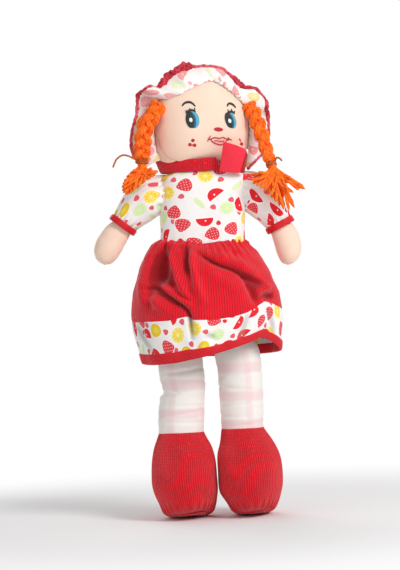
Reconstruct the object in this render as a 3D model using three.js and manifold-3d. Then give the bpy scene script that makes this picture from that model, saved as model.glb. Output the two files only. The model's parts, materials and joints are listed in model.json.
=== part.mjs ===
// Rag doll with a frilled bonnet, two yarn braids, a fruit-print bodice and a gathered skirt.
// Millimetres, +Z up. The doll stands on its soles and faces -Y; its left side is +X.
// Every cover is an open shell of cloth, and its fibre filling is a solid of its own inside it.
import * as THREE from 'three';
import { mergeVertices } from 'three/addons/utils/BufferGeometryUtils.js';
import Module from 'manifold-3d';

const wasm = await Module();
wasm.setup();

// Cloth and clearances
const clothWall = 1.0;
const seamGap = 0.3;
const bindingWall = 1.5;
const cutOverrunLength = 4;

// Place of the neck axis in the frame, so that the origin lies under the middle of the doll
const standOffset = 5.4;

// Torso
const torsoBottom = 222.4;
const torsoHeight = 122.6;
const torsoHalfWidth = 41;
const torsoHalfDepth = 27;
const neckRimRadius = 15.5;

// Neck and head
const neckDepth = 6;
const neckLength = 11.6;
const neckDomeHeight = 5.2;
const headHeight = 87;
const headHalfWidth = 48;
const faceDepth = 39;
const napeDepth = 45;
const headCentreHeight = 41;
const headTurnDegrees = 17;

// Arms
const shoulderOffset = 52.5;
const shoulderDrop = 27;
const shoulderBallRadius = 11;
const shoulderPadThickness = 1.5;
const shoulderPadRadius = 7.6;
const armLength = 78;
const armHalfWidth = 13.8;
const armThicknessShare = 0.88;
const armBowDepth = 7.5;
const leftArmDegrees = 26;
const rightArmDegrees = 38.7;
const armUnstuffedLength = 6;

// Legs
const hipOffset = 21.5;
const hipBallRadius = 20;
const hipGap = 0.35;
const legHalfWidth = 22.4;
const legHalfDepth = 21.5;
const legSplayWidth = 7.5;
const ankleHeight = 84;

// Shoes
const shoeOffset = 33;
const shoeHalfWidth = 32.3;
const shoeHalfLength = 43;
const toeReachLength = 13;
const soleThickness = 2;

// Bodice, collar and sleeves
const waistRise = 52.6;
const bodiceGap = 0.4;
const armholeRadius = 14.6;
const sleeveRise = 5;
const sleeveSeatGap = 1.2;
const sleeveTopRadius = 18;
const sleeveTopDepth = 14.8;
const sleeveLength = 42;
const sleevePuffDepth = 2.4;
const sleeveReachLength = 15;
const cuffBindingWidth = 6.5;
const cuffGap = 0.6;
const collarHeight = 12.5;
const collarFlareWidth = 2.6;
const flapHeight = 25;
const flapRiseHeight = 6;
const flapShiftWidth = 6;
const flapLeanDepth = 9;
const flapCurlDepth = 1.5;
const flapDegrees = [17, 66];

// Skirt
const skirtHalfWidth = 77.2;
const skirtLeftHalfWidth = 73.7;
const skirtHalfDepth = 59.5;
const hemHeight = 157.5;
const hemLiftHeight = 19.5;
const foldDepth = 3.4;
const foldCount = 9;
const creaseDepth = 5;
const creaseHalfWidth = 5;
const printBandHeight = 40;
const hemBindingHeight = 9.6;

// Bonnet
const crownGap = 3.4;
const gatherLiftGap = 0.6;
const gatherGap = 1.15;
const crownPuffDepth = 6;
const crownHemRise = 9.4;
const frillWidth = 17.5;
const frillSideDepth = 8;
const frillForeheadDepth = 26;
const frillFlareDepth = 4;
const frillWaveDepth = 3;
const frillWaveCount = 11;
const frillBindingWidth = 4;

// Braids
const braidRadius = 8.4;
const tieRadius = 7;
const tieHeight = 5;
const tasselRadius = 11;

const skinCloth = cloth(0xf5d9be, 0.8);
const whiteCloth = cloth(0xf1ece6, 0.85);
const printCloth = cloth(0xefedeb, 0.8);
const redCord = cloth(0xdc1e32, 0.9);
const deepRedCord = cloth(0xc8101e, 0.9);
const redSatin = cloth(0xf53c4b, 0.55);
const redBinding = cloth(0xb31424, 0.7);
const yarn = cloth(0xff5a0a, 0.95);
const tieYarn = cloth(0xb5531c, 0.95);
const filling = cloth(0xf8f8f4, 1);

function cloth(color, roughness) {
  return new THREE.MeshStandardMaterial({ color, roughness, metalness: 0 });
}

// A closed body through rings of equally many points; its two ends are capped, or joined to each other
function loft(rings, joined = false) {
  const sides = rings[0].length;
  const points = rings.flat();
  const faces = [];
  const rows = joined ? rings.length : rings.length - 1;
  for (let row = 0; row < rows; row += 1) {
    const next = (row + 1) % rings.length;
    for (let side = 0; side < sides; side += 1) {
      const a = row * sides + side;
      const b = row * sides + (side + 1) % sides;
      const c = next * sides + (side + 1) % sides;
      const d = next * sides + side;
      faces.push(a, b, c, a, c, d);
    }
  }
  if (!joined) {
    for (const [row, turned] of [[0, true], [rings.length - 1, false]]) {
      const centre = new THREE.Vector3();
      rings[row].forEach((point) => centre.addScaledVector(point, 1 / sides));
      points.push(centre);
      for (let side = 0; side < sides; side += 1) {
        const a = row * sides + side;
        const b = row * sides + (side + 1) % sides;
        faces.push(points.length - 1, turned ? b : a, turned ? a : b);
      }
    }
  }
  return facedOut(points, faces);
}

// Turns every face round if the body came out inside out
function facedOut(points, faces) {
  let volume = 0;
  for (let i = 0; i < faces.length; i += 3) {
    const [a, b, c] = [points[faces[i]], points[faces[i + 1]], points[faces[i + 2]]];
    volume += a.dot(b.clone().cross(c));
  }
  const index = volume > 0 ? faces : faces.toReversed();
  const geometry = new THREE.BufferGeometry().setFromPoints(points);
  geometry.setIndex(index);
  geometry.computeVertexNormals();
  return geometry;
}

function manifoldOf(geometry) {
  const bare = geometry.clone();
  bare.deleteAttribute('normal');
  bare.deleteAttribute('uv');
  const merged = mergeVertices(bare);
  return new wasm.Manifold(new wasm.Mesh({
    numProp: 3,
    vertProperties: merged.attributes.position.array,
    triVerts: Uint32Array.from(merged.index.array),
  }));
}

function geometryOf(manifold) {
  const mesh = manifold.getMesh();
  const geometry = new THREE.BufferGeometry();
  geometry.setAttribute('position', new THREE.BufferAttribute(mesh.vertProperties, 3));
  geometry.setIndex(new THREE.BufferAttribute(mesh.triVerts, 1));
  geometry.computeVertexNormals();
  return geometry;
}

// Stations of a stuffed piece: height, half width, half depth, and how far its middle is moved aside
function station(height, width, depth, across = 0, forward = 0) {
  return { height, width, depth, across, forward };
}

function stationRing({ height, width, depth, across, forward }, sides) {
  const ring = [];
  for (let side = 0; side < sides; side += 1) {
    const angle = (2 * Math.PI * side) / sides;
    ring.push(new THREE.Vector3(
      across + width * Math.cos(angle),
      forward + depth * Math.sin(angle),
      height,
    ));
  }
  return ring;
}

// The same stations moved inward by a wall, square to their outline
function inset(stations, wall) {
  return stations.map((here, i) => {
    const before = stations[Math.max(i - 1, 0)];
    const after = stations[Math.min(i + 1, stations.length - 1)];
    const rise = after.height - before.height;
    const swell = (after.width + after.depth - before.width - before.depth) / 2;
    const length = Math.hypot(rise, swell);
    const outward = Math.abs(rise) / length;
    const along = (-Math.sign(rise) * swell) / length;
    return {
      ...here,
      height: here.height - wall * along,
      width: here.width - wall * outward,
      depth: here.depth - wall * outward,
    };
  });
}

// A cover of one wall of cloth: closed at its first end if it starts in a pole, open at the other
function pouch(stations, sides, wall = clothWall) {
  const outer = stations.map((here) => stationRing(here, sides));
  const inner = inset(stations, wall).map((here) => stationRing(here, sides));
  return loft([...outer, ...inner.reverse()]);
}

function sleeveOf(stations, sides, wall = clothWall) {
  const outer = stations.map((here) => stationRing(here, sides));
  const inner = inset(stations, wall).map((here) => stationRing(here, sides));
  return loft([...outer, ...inner.reverse()], true);
}

function solidOf(stations, sides) {
  return loft(stations.map((here) => stationRing(here, sides)));
}

// Straight interpolation in a table of shares: the first number of each row is the place
function sharesAt(table, place) {
  const last = table.length - 1;
  let row = table.findIndex((entry) => entry[0] >= place);
  if (row === -1) row = last;
  if (row === 0) row = 1;
  const [low, high] = [table[row - 1], table[row]];
  const t = (place - low[0]) / (high[0] - low[0]);
  return low.map((value, i) => value + (high[i] - value) * t);
}

const group = new THREE.Group();
const doll = new THREE.Group();
doll.position.set(standOffset, 0, 0);
group.add(doll);

function add(name, geometry, material, parent = doll) {
  const mesh = new THREE.Mesh(geometry, material);
  mesh.name = name;
  parent.add(mesh);
  return mesh;
}

// Torso: height, half width and half depth as shares, from the crotch up to the neck rim
const torsoSides = 24;
const torsoShares = [
  [0, 0.6, 0.5],
  [0.03, 0.86, 0.82],
  [0.11, 1, 1],
  [0.27, 0.98, 0.99],
  [0.43, 0.93, 0.93],
  [0.63, 0.95, 0.97],
  [0.79, 0.957, 0.94],
  [0.9, 0.955, 0.9],
  [0.955, 0.945, 0.84],
  [0.985, 0.9, 0.76],
];
const torsoTop = torsoBottom + torsoHeight;
const waistHeight = torsoBottom + waistRise;
const shoulderHeight = torsoTop - shoulderDrop;
const headBottom = torsoTop + neckLength;

function torsoStation([heightShare, widthShare, depthShare]) {
  return station(
    torsoBottom + heightShare * torsoHeight,
    widthShare * torsoHalfWidth,
    depthShare * torsoHalfDepth,
  );
}

function makeTorso() {
  const body = torsoShares.map(torsoStation);
  const rim = station(torsoTop, neckRimRadius + seamGap, neckRimRadius + seamGap);
  add('torso_cover', pouch([...body, rim], torsoSides), skinCloth);

  const core = inset([...body, rim], clothWall + seamGap).slice(0, -1);
  const fillTop = torsoTop - neckDepth - seamGap;
  const filled = core.filter((here) => here.height < fillTop - seamGap);
  const last = core.find((here) => here.height >= fillTop - seamGap) ?? core.at(-1);
  const before = filled.at(-1);
  const t = (fillTop - before.height) / (last.height - before.height);
  filled.push(station(
    fillTop,
    before.width + (last.width - before.width) * t,
    before.depth + (last.depth - before.depth) * t,
  ));
  add('torso_stuffing', solidOf(filled, torsoSides), filling);
}

// Neck stump: a short stuffed plug in the torso's rim, domed where the head rocks on it
const neckSides = 16;
const neckDomeDegrees = [35, 60, 80];

function makeNeck() {
  const radius = neckRimRadius - seamGap;
  const shoulder = headBottom - seamGap - neckDomeHeight;
  const stations = [station(torsoTop - neckDepth, radius, radius), station(shoulder, radius, radius)];
  for (const degrees of neckDomeDegrees) {
    const angle = THREE.MathUtils.degToRad(degrees);
    const here = radius * Math.cos(angle);
    stations.push(station(shoulder + neckDomeHeight * Math.sin(angle), here, here));
  }
  add('neck', solidOf(stations, neckSides), skinCloth);
}

// Head: two bowls of cloth, joined along a seam that runs over the crown and down both sides
const head = new THREE.Group();
const headCentre = headBottom + headCentreHeight;
head.rotation.z = THREE.MathUtils.degToRad(headTurnDegrees);
doll.add(head);
const headSides = 24;
const headFullness = 0.9;
const bowlShares = [0, 0.3, 0.58, 0.8, 0.95];

// A point of the head's surface, grown by ease: turn goes round the face, depth runs from the seam
function headPoint(turn, share, depth, ease) {
  const lift = Math.sin(turn);
  const high = lift > 0 ? headHeight - headCentreHeight : headCentreHeight;
  const round = Math.cos(Math.asin(share));
  const fuller = (value) => Math.sign(value) * Math.abs(value) ** headFullness;
  return new THREE.Vector3(
    (headHalfWidth + ease) * fuller(Math.cos(turn)) * round,
    (depth + Math.sign(depth) * ease) * share,
    headCentre + (high + ease) * fuller(lift) * round,
  );
}

function bowlRings(depth, ease, shift) {
  return bowlShares.map((share) => {
    const ring = [];
    for (let side = 0; side < headSides; side += 1) {
      const point = headPoint((2 * Math.PI * side) / headSides, share, depth, ease);
      point.y += shift;
      ring.push(point);
    }
    return ring;
  });
}

function makeHead() {
  for (const [name, depth] of [['face_panel', -faceDepth], ['head_back_panel', napeDepth]]) {
    const shift = (Math.sign(depth) * seamGap) / 2;
    const outer = bowlRings(depth, 0, shift);
    const inner = bowlRings(depth, -clothWall, shift);
    add(name, loft([...outer.reverse(), ...inner]), skinCloth, head);
  }
  const core = -(clothWall + 2 * seamGap);
  const front = bowlRings(-faceDepth, core, 0);
  const back = bowlRings(napeDepth, core, 0).slice(1);
  add('head_stuffing', loft([...front.reverse(), ...back]), filling, head);
}

// Arm: runs down along -Z from the shoulder ball and bows outward; a mitten without fingers ends it
const armSides = 16;
const armShares = [
  [0.12, 0.84],
  [0.3, 0.88],
  [0.5, 0.88],
  [0.64, 0.94],
  [0.76, 1],
  [0.87, 0.92],
  [0.95, 0.68],
  [0.99, 0.36],
];
const ballDegrees = [20, 45, 70, 90];
const unstuffedShare = 0.85;

function bowAt(along) {
  return along > 0 ? armBowDepth * Math.sin((Math.PI * along) / armLength) : 0;
}

function armStations() {
  const ball = ballDegrees.map((degrees) => {
    const angle = THREE.MathUtils.degToRad(degrees);
    const here = shoulderBallRadius * Math.sin(angle);
    return station(shoulderBallRadius * Math.cos(angle), here, here);
  });
  const limb = armShares.map(([alongShare, widthShare]) => {
    const along = alongShare * armLength;
    const width = widthShare * armHalfWidth;
    return station(-along, width, width * armThicknessShare, bowAt(along));
  });
  return [...ball, ...limb];
}

function mirrored(geometry, sign) {
  if (sign > 0) return geometry;
  const position = geometry.attributes.position;
  const points = [];
  for (let i = 0; i < position.count; i += 1) {
    points.push(new THREE.Vector3(-position.getX(i), position.getY(i), position.getZ(i)));
  }
  return facedOut(points, Array.from(geometry.index.array));
}

// A place on the hanging arm of one side: along it, out from its chord, and the arm's direction
function armFrame(sign) {
  const angle = THREE.MathUtils.degToRad(sign > 0 ? leftArmDegrees : rightArmDegrees);
  const pivot = new THREE.Vector3(sign * shoulderOffset, 0, shoulderHeight);
  const down = new THREE.Vector3(sign * Math.sin(angle), 0, -Math.cos(angle));
  const out = new THREE.Vector3(sign * Math.cos(angle), 0, Math.sin(angle));
  return { angle, pivot, down, out };
}

function makeArm(side, sign) {
  const { angle, pivot } = armFrame(sign);
  const arm = new THREE.Group();
  arm.position.copy(pivot);
  arm.rotation.y = -sign * angle;
  doll.add(arm);

  const stations = armStations().reverse();
  const top = stations.length - 1;
  add(`${side}_arm_cover`, mirrored(pouch(stations, armSides), sign), skinCloth, arm);
  const core = inset(stations, clothWall + seamGap);
  const stuffed = core.slice(0, top - ballDegrees.length + 1);
  const end = stuffed.at(-1);
  stuffed.push({
    ...end,
    height: -armUnstuffedLength,
    across: bowAt(armUnstuffedLength),
    width: end.width * unstuffedShare,
    depth: end.depth * unstuffedShare,
  });
  add(`${side}_arm_stuffing`, mirrored(solidOf(stuffed, armSides), sign), filling, arm);
}

// Shoulder pad: the gathered end of the arm's cloth, a curved disc between torso and arm
const padSides = 14;
const padShares = [1, 0.6, 0.2];

function makeShoulderPad(side, sign) {
  const inner = shoulderBallRadius + seamGap;
  const cap = (radius, shares) => shares.map((share) => {
    const wide = share * shoulderPadRadius;
    const ring = [];
    for (let i = 0; i < padSides; i += 1) {
      const angle = (2 * Math.PI * i) / padSides;
      ring.push(new THREE.Vector3(
        sign * (shoulderOffset - Math.sqrt(radius ** 2 - wide ** 2)),
        wide * Math.cos(angle),
        shoulderHeight + wide * Math.sin(angle),
      ));
    }
    return ring;
  });
  const rings = [...cap(inner + shoulderPadThickness, padShares).reverse(), ...cap(inner, padShares)];
  add(`${side}_shoulder_seam`, loft(rings), skinCloth);
}

// Leg: a ball end under the torso's flat bottom, then a full round limb that splays outward
const legSides = 18;
const legShares = [
  [0.1, 0.9, 0],
  [0.22, 0.95, 0.25],
  [0.42, 1, 0.7],
  [0.62, 1, 1],
  [0.82, 0.98, 1.05],
  [1, 0.95, 1.1],
];
const hipDegrees = [8, 28, 50, 72, 90];
const hipHeight = torsoBottom - hipGap - hipBallRadius;
const legLength = hipHeight - ankleHeight - seamGap / 2;

function legStations() {
  const ball = hipDegrees.map((degrees) => {
    const angle = THREE.MathUtils.degToRad(degrees);
    const here = hipBallRadius * Math.sin(angle);
    const wide = Math.min(here, (hipOffset - hipGap) * Math.sin(angle));
    return station(hipHeight + hipBallRadius * Math.cos(angle), wide * legShares[0][1], here, hipOffset);
  });
  const limb = legShares.map(([alongShare, widthShare, splayShare]) => station(
    hipHeight - alongShare * legLength,
    widthShare * legHalfWidth,
    widthShare * legHalfDepth,
    hipOffset + splayShare * legSplayWidth,
  ));
  return [...ball, ...limb];
}

function makeLeg(side, sign) {
  const stations = legStations();
  add(`${side}_leg_cover`, mirrored(pouch(stations, legSides), sign), whiteCloth);
  const core = inset(stations, clothWall + seamGap);
  core.at(-1).height = stations.at(-1).height;
  add(`${side}_leg_stuffing`, mirrored(solidOf(core, legSides), sign), filling);
}

// Shoe: height, half width, half length, how far the middle has moved forward and outward, as shares
const shoeSides = 20;
const shoeShares = [
  [1, 0.66, 0.475, 0, 0.75],
  [0.86, 0.75, 0.62, 0.25, 0.8],
  [0.68, 0.88, 0.8, 0.65, 0.95],
  [0.5, 0.98, 0.95, 0.95, 1],
  [0.34, 1, 1, 1, 1],
  [0.18, 0.96, 0.97, 1, 1],
  [0.07, 0.87, 0.89, 0.95, 1],
];
const soleShare = 0.78;

function makeShoe(side, sign) {
  const ankle = hipOffset + legShares.at(-1)[2] * legSplayWidth;
  const top = ankleHeight - seamGap / 2;
  const place = ([heightShare, widthShare, lengthShare, forwardShare, outShare]) => station(
    heightShare * top,
    widthShare * shoeHalfWidth,
    lengthShare * shoeHalfLength,
    heightShare === 1 ? ankle : ankle + (shoeOffset - ankle) * outShare,
    -forwardShare * toeReachLength,
  );
  const stations = shoeShares.map(place);
  const low = stations.at(-1);
  const rim = station(
    soleThickness + seamGap,
    soleShare * shoeHalfWidth,
    soleShare * shoeHalfLength,
    low.across,
    low.forward,
  );
  const cover = [...stations, rim];
  add(`${side}_shoe_upper`, mirrored(sleeveOf(cover, shoeSides), sign), deepRedCord);

  const sole = [station(0, rim.width, rim.depth, rim.across, rim.forward)];
  sole.push({ ...sole[0], height: soleThickness });
  add(`${side}_shoe_sole`, mirrored(solidOf(sole, shoeSides), sign), deepRedCord);

  const core = inset(cover, clothWall + seamGap);
  add(`${side}_shoe_stuffing`, mirrored(solidOf(core, shoeSides), sign), filling);
}

// Half width and half depth of the bodice's inner face at a height
function bodiceAt(height) {
  const [, widthShare, depthShare] = sharesAt(torsoShares, (height - torsoBottom) / torsoHeight);
  return [widthShare * torsoHalfWidth + bodiceGap, depthShare * torsoHalfDepth + bodiceGap];
}

// Bodice: a wall of print cloth round the torso, open at neck and waist, with two round armholes
const bodiceShares = [0.43, 0.55, 0.67, 0.79, 0.9, 0.955, 0.985];

function makeBodice() {
  const heights = bodiceShares.map((share) => torsoBottom + share * torsoHeight);
  heights[0] = waistHeight + seamGap / 2;
  const layer = (wall) => heights.map((height) => {
    const [width, depth] = bodiceAt(height);
    return stationRing(station(height, width + wall, depth + wall), torsoSides);
  });
  const outer = layer(clothWall);
  const inner = layer(0);
  const cover = manifoldOf(loft([...outer, ...inner.reverse()], true));
  const reach = torsoHalfWidth + cutOverrunLength;
  const bore = new THREE.CylinderGeometry(armholeRadius, armholeRadius, reach, armSides);
  bore.rotateZ(Math.PI / 2);
  bore.translate(reach / 2 + cutOverrunLength, 0, shoulderHeight);
  const cut = cover.subtract(manifoldOf(bore)).subtract(manifoldOf(mirrored(bore, -1)));
  add('bodice', geometryOf(cut), printCloth);
}

// Sleeve: a short puff from the armhole down the bowed arm, and a bias binding round its cuff
const sleeveSides = 18;
const sleeveHeight = shoulderHeight + sleeveRise;
const sleeveShares = [0, 0.18, 0.4, 0.65, 0.86, 1];
const cuffShares = [sleeveLength, sleeveLength + cuffBindingWidth].map((along) => along / armLength);
const wristShare = Math.max(...cuffShares.map((share) => sharesAt(armShares, share)[1]));
const cuffRadius = armHalfWidth * wristShare + cuffGap;

function makeSleeve(side, sign) {
  const { pivot, down, out } = armFrame(sign);
  const seatAt = (height) => bodiceAt(height).map((half) => half + clothWall + sleeveSeatGap);
  const start = new THREE.Vector3(sign * seatAt(sleeveHeight)[0], 0, sleeveHeight);
  const end = pivot.clone().addScaledVector(down, sleeveLength).addScaledVector(out, bowAt(sleeveLength));
  const leave = start.clone().add(new THREE.Vector3(sign * sleeveReachLength, 0, 0));
  const arrive = end.clone().addScaledVector(down, -sleeveReachLength);
  const spine = new THREE.CubicBezierCurve3(start, leave, arrive, end);
  const ringAt = (point, heading, high, thick) => {
    const across = new THREE.Vector3(0, 1, 0);
    const up = heading.clone().cross(across).normalize();
    const ring = [];
    for (let i = 0; i < sleeveSides; i += 1) {
      const angle = (2 * Math.PI * i) / sleeveSides;
      ring.push(point.clone()
        .addScaledVector(up, high * Math.cos(angle))
        .addScaledVector(across, thick * Math.sin(angle)));
    }
    return ring;
  };
  const layer = (ease) => sleeveShares.map((share) => {
    const puff = sleevePuffDepth * Math.sin(Math.PI * share) + ease;
    const high = sleeveTopRadius + (cuffRadius - sleeveTopRadius) * share + puff;
    const thick = sleeveTopDepth + (cuffRadius - sleeveTopDepth) * share + puff;
    const ring = ringAt(spine.getPoint(share), spine.getTangent(share), high, thick);
    if (share === 0) {
      for (const point of ring) {
        const [wide, deep] = seatAt(point.z);
        point.setX(sign * wide * Math.sqrt(1 - (point.y / deep) ** 2));
      }
    }
    return ring;
  });
  add(`${side}_sleeve`, loft([...layer(clothWall), ...layer(0).reverse()], true), printCloth);

  const tube = [seamGap, cuffBindingWidth].map((beyond) => {
    const along = sleeveLength + beyond;
    const point = pivot.clone().addScaledVector(down, along).addScaledVector(out, bowAt(along));
    const outside = cuffRadius + bindingWall;
    return [ringAt(point, down, outside, outside), ringAt(point, down, cuffRadius, cuffRadius)];
  });
  const rings = [tube[0][0], tube[1][0], tube[1][1], tube[0][1]];
  add(`${side}_sleeve_binding`, loft(rings, true), redBinding);
}

// Skirt: a bell that swells from waist to full size by these shares, from the waist down to the hem
const skirtSides = 72;
// How wide the skirt is on the doll's right and left and how deep, from the waist down
const bellShares = [
  [0, 0, 0, 0],
  [0.02, 0.26, 0.04, 0.1],
  [0.04, 0.39, 0.06, 0.2],
  [0.1, 0.55, 0.25, 0.36],
  [0.2, 0.72, 0.5, 0.58],
  [0.34, 0.88, 0.7, 0.77],
  [0.5, 0.99, 0.93, 0.91],
  [0.66, 1, 1, 0.99],
  [0.8, 0.92, 0.98, 1],
  [0.9, 0.85, 0.94, 0.97],
  [1, 0.78, 0.89, 0.92],
];
// How far the lower edge and the band's top are lifted in front, from the doll's right to its left
const hemLiftShares = [
  [-1, -0.16], [-0.9, -0.16], [-0.45, -0.08], [0.03, 0.23], [0.3, 0.51], [0.52, 0.81], [0.65, 0.97],
  [0.74, 1], [0.83, 0.74], [0.91, 0.36], [1, 0.18],
];
const bandLiftShares = [
  [-1, -0.03], [-0.5, 0.02], [-0.24, 0.1], [0.08, -0.05], [0.31, 0.05], [0.49, 0.23], [0.65, 0.56],
  [0.74, 0.79], [0.82, 0.72], [0.91, 0.54], [1, 0.36],
];
// The main folds in front: how far each stands out, how wide it is, and its places across and down
const creases = [
  [0.8, 1.2, [[-0.61, 0.02], [-0.76, 0.17], [-0.85, 0.34], [-0.87, 0.53]]],
  [-1.5, 1.8, [[-0.52, 0.08], [-0.58, 0.22], [-0.64, 0.37], [-0.7, 0.48]]],
  [0.7, 0.8, [[-0.4, 0.03], [-0.41, 0.15], [-0.35, 0.32], [-0.26, 0.49]]],
  [-1, 0.8, [[-0.21, 0.03], [-0.22, 0.15], [-0.22, 0.27], [-0.18, 0.4]]],
  [1.1, 0.95, [[-0.1, 0], [-0.17, 0.1], [-0.19, 0.21], [-0.14, 0.33], [-0.06, 0.5]]],
  [-1, 0.7, [[-0.11, 0.11], [0.13, 0.21], [0.36, 0.29], [0.52, 0.36], [0.7, 0.4]]],
  [0.6, 1.2, [[-0.02, 0.26], [0.19, 0.34], [0.41, 0.42], [0.55, 0.49]]],
  [0.6, 1, [[0.12, 0.14], [0.37, 0.22], [0.59, 0.29]]],
  [-1, 1.1, [[0.59, 0.36], [0.63, 0.47], [0.64, 0.55]]],
  [-1, 0.7, [[-0.72, 0.38], [-0.61, 0.42], [-0.42, 0.51], [-0.27, 0.61], [-0.23, 0.67], [-0.23, 0.79]]],
  [0.6, 1.2, [[-0.78, 0.46], [-0.62, 0.53], [-0.43, 0.62]]],
];
const bandRows = 4;
const bindingRows = 2;
const skirtRowShares = [0, 0.08, 0.18, 0.34, 0.51, 0.69, 0.86, 1];
const frontSharpness = 7;
const frontFoldCount = 8;
const smallFoldCount = 5;
const smallFoldShare = 0.44;
const frontFoldShare = 0.35;
const foldLean = 0.7;
const smallFoldLean = 1;
const frontFoldLean = 1.1;

// How far a crease moves the cloth at a place across and down the front, as a share of its depth
function creaseAt([stand, width, path], across, down) {
  const length = waistHeight - hemHeight;
  const here = new THREE.Vector2(across, down * length);
  const places = path.map(([x, y]) => new THREE.Vector2(x * skirtHalfWidth, y * length));
  let [nearest, along] = [Infinity, 0];
  for (let i = 1; i < places.length; i += 1) {
    const step = places[i].clone().sub(places[i - 1]);
    const t = here.clone().sub(places[i - 1]).dot(step) / step.lengthSq();
    const share = Math.min(Math.max(t, 0), 1);
    const away = here.distanceTo(places[i - 1].clone().addScaledVector(step, share));
    if (away < nearest) [nearest, along] = [away, (i - 1 + share) / (places.length - 1)];
  }
  const fading = Math.min(1, 0.35 + 2.6 * Math.min(along, 1 - along));
  return stand * fading * Math.exp(-((nearest / (width * creaseHalfWidth)) ** 2));
}

// A ring of the skirt, at a share of the way down from the waist; its angles start in front
function skirtRing(share, ease, lift) {
  const [, rightShare, leftShare, depthShare] = sharesAt(bellShares, share);
  const [waistWidth, waistDepth] = bodiceAt(waistHeight);
  const length = waistHeight - hemHeight;
  const bandShare = 1 - printBandHeight / length;
  const widths = [
    waistWidth + (skirtHalfWidth - waistWidth) * rightShare,
    waistWidth + (skirtLeftHalfWidth - waistWidth) * leftShare,
  ];
  const depth = waistDepth + (skirtHalfDepth - waistDepth) * depthShare;
  const ring = [];
  for (let i = 0; i < skirtSides; i += 1) {
    const angle = (2 * Math.PI * i) / skirtSides - Math.PI;
    const turn = 1 - (2 * Math.abs(angle)) / Math.PI;
    const side = angle < 0 ? widths[0] : widths[1];
    const width = side + ((widths[0] + widths[1]) / 2 - side) * Math.abs(turn) ** 3;
    const across = width * Math.sin(angle);
    const front = 1 / (1 + Math.exp(-frontSharpness * turn));
    const [bandLift, hemLift] = [bandLiftShares, hemLiftShares].map(
      (table) => sharesAt(table, across / skirtHalfWidth)[1] * hemLiftHeight * front,
    );
    const edge = share < bandShare
      ? (bandLift * share) / bandShare
      : bandLift + ((hemLift - bandLift) * (share - bandShare)) / (1 - bandShare);
    const down = share - edge / length;
    const crease = creases.reduce((sum, entry) => sum + creaseAt(entry, across, down), 0);
    const around = Math.atan2(across, depth * Math.cos(angle));
    const main = Math.cos(foldCount * around + foldLean)
      + smallFoldShare * Math.sin(smallFoldCount * around + smallFoldLean);
    const gentle = frontFoldShare * Math.cos(frontFoldCount * around + frontFoldLean);
    const push = foldDepth * share * ((1 - front) * main + front * gentle)
      + front * creaseDepth * crease * Math.min(1, share * foldCount) + ease;
    ring.push(new THREE.Vector3(
      across + push * Math.sin(angle),
      -(depth + push) * Math.cos(angle),
      waistHeight - length * down + lift,
    ));
  }
  return ring;
}

function makeSkirt() {
  const length = waistHeight - hemHeight;
  const bindingTop = 1 - hemBindingHeight / length;
  const bandTop = 1 - printBandHeight / length;
  const between = (low, high, count) => Array.from(
    { length: count },
    (unused, i) => low + ((high - low) * i) / (count - 1),
  );
  const strip = (name, shares, wall, material) => {
    const last = shares.length - 1;
    const lift = (i) => (i === 0 ? -seamGap / 2 : 0) + (i === last ? seamGap / 2 : 0);
    const outer = shares.map((share, i) => skirtRing(share, wall, lift(i)));
    const inner = shares.map((share, i) => skirtRing(share, 0, lift(i)));
    add(name, loft([...outer, ...inner.reverse()], true), material);
  };
  strip('skirt', skirtRowShares.map((share) => share * bandTop), clothWall, redCord);
  strip('skirt_print_band', between(bandTop, bindingTop, bandRows), clothWall, printCloth);
  strip('hem_binding', between(bindingTop, 1, bindingRows), bindingWall, redBinding);
}

// Collar: a ribbed band round the neck opening, and its loose end turned up beside the chin
const collarSides = 28;
const collarRowShares = [0, 0.5, 1];
const flapRows = 4;
const flapColumns = 4;

function makeCollar() {
  const bottom = torsoBottom + bodiceShares.at(-1) * torsoHeight;
  const [width, depth] = bodiceAt(bottom);
  const wrap = collarRowShares.map((share) => station(
    bottom + seamGap + share * collarHeight,
    width + clothWall + share * collarFlareWidth,
    depth + clothWall + share * collarFlareWidth,
  ));
  add('collar_band', sleeveOf(wrap, collarSides), redCord);

  const [from, to] = flapDegrees;
  const face = (row, column, wall) => {
    const up = row / flapRows;
    const along = column / flapColumns;
    const angle = THREE.MathUtils.degToRad(from + (to - from) * along);
    const curl = flapCurlDepth * Math.sin(Math.PI * along) * up;
    const stand = collarFlareWidth + clothWall + seamGap + wall + curl;
    return new THREE.Vector3(
      (width + stand) * Math.cos(angle) + flapShiftWidth * up,
      -(depth + stand) * Math.sin(angle) - flapLeanDepth * up * up,
      bottom + flapRiseHeight * along + flapHeight * up,
    );
  };
  const rings = [];
  for (let row = 0; row <= flapRows; row += 1) {
    const near = [];
    const far = [];
    for (let column = 0; column <= flapColumns; column += 1) {
      near.push(face(row, column, clothWall));
      far.unshift(face(row, column, 0));
    }
    rings.push([...near, ...far]);
  }
  add('collar_flap', loft(rings), redSatin);
}

// Bonnet: a gathered crown round the back of the head, a waved frill round the face, a bound edge
const gatherRowShares = [0, 0.35, 0.7];
const frillRowShares = [0, 0.5, 1];
const frillSteps = 44;
const frillStartDegrees = -44;
const frillSweepDegrees = 268;

// The gathered line where crown and frill meet: over the forehead and down behind the cheeks
function gatherPoint(angle, ease, setBack = 0, backShare = 0) {
  const topShare = Math.max(Math.sin(angle), 0) ** 2;
  const line = frillSideDepth + (frillForeheadDepth - frillSideDepth) * topShare - setBack;
  const front = line * (1 - backShare);
  const room = gatherLiftGap + (crownGap + crownPuffDepth - gatherLiftGap) * backShare;
  return headPoint(angle, front / faceDepth, -faceDepth, room + ease);
}

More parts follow.
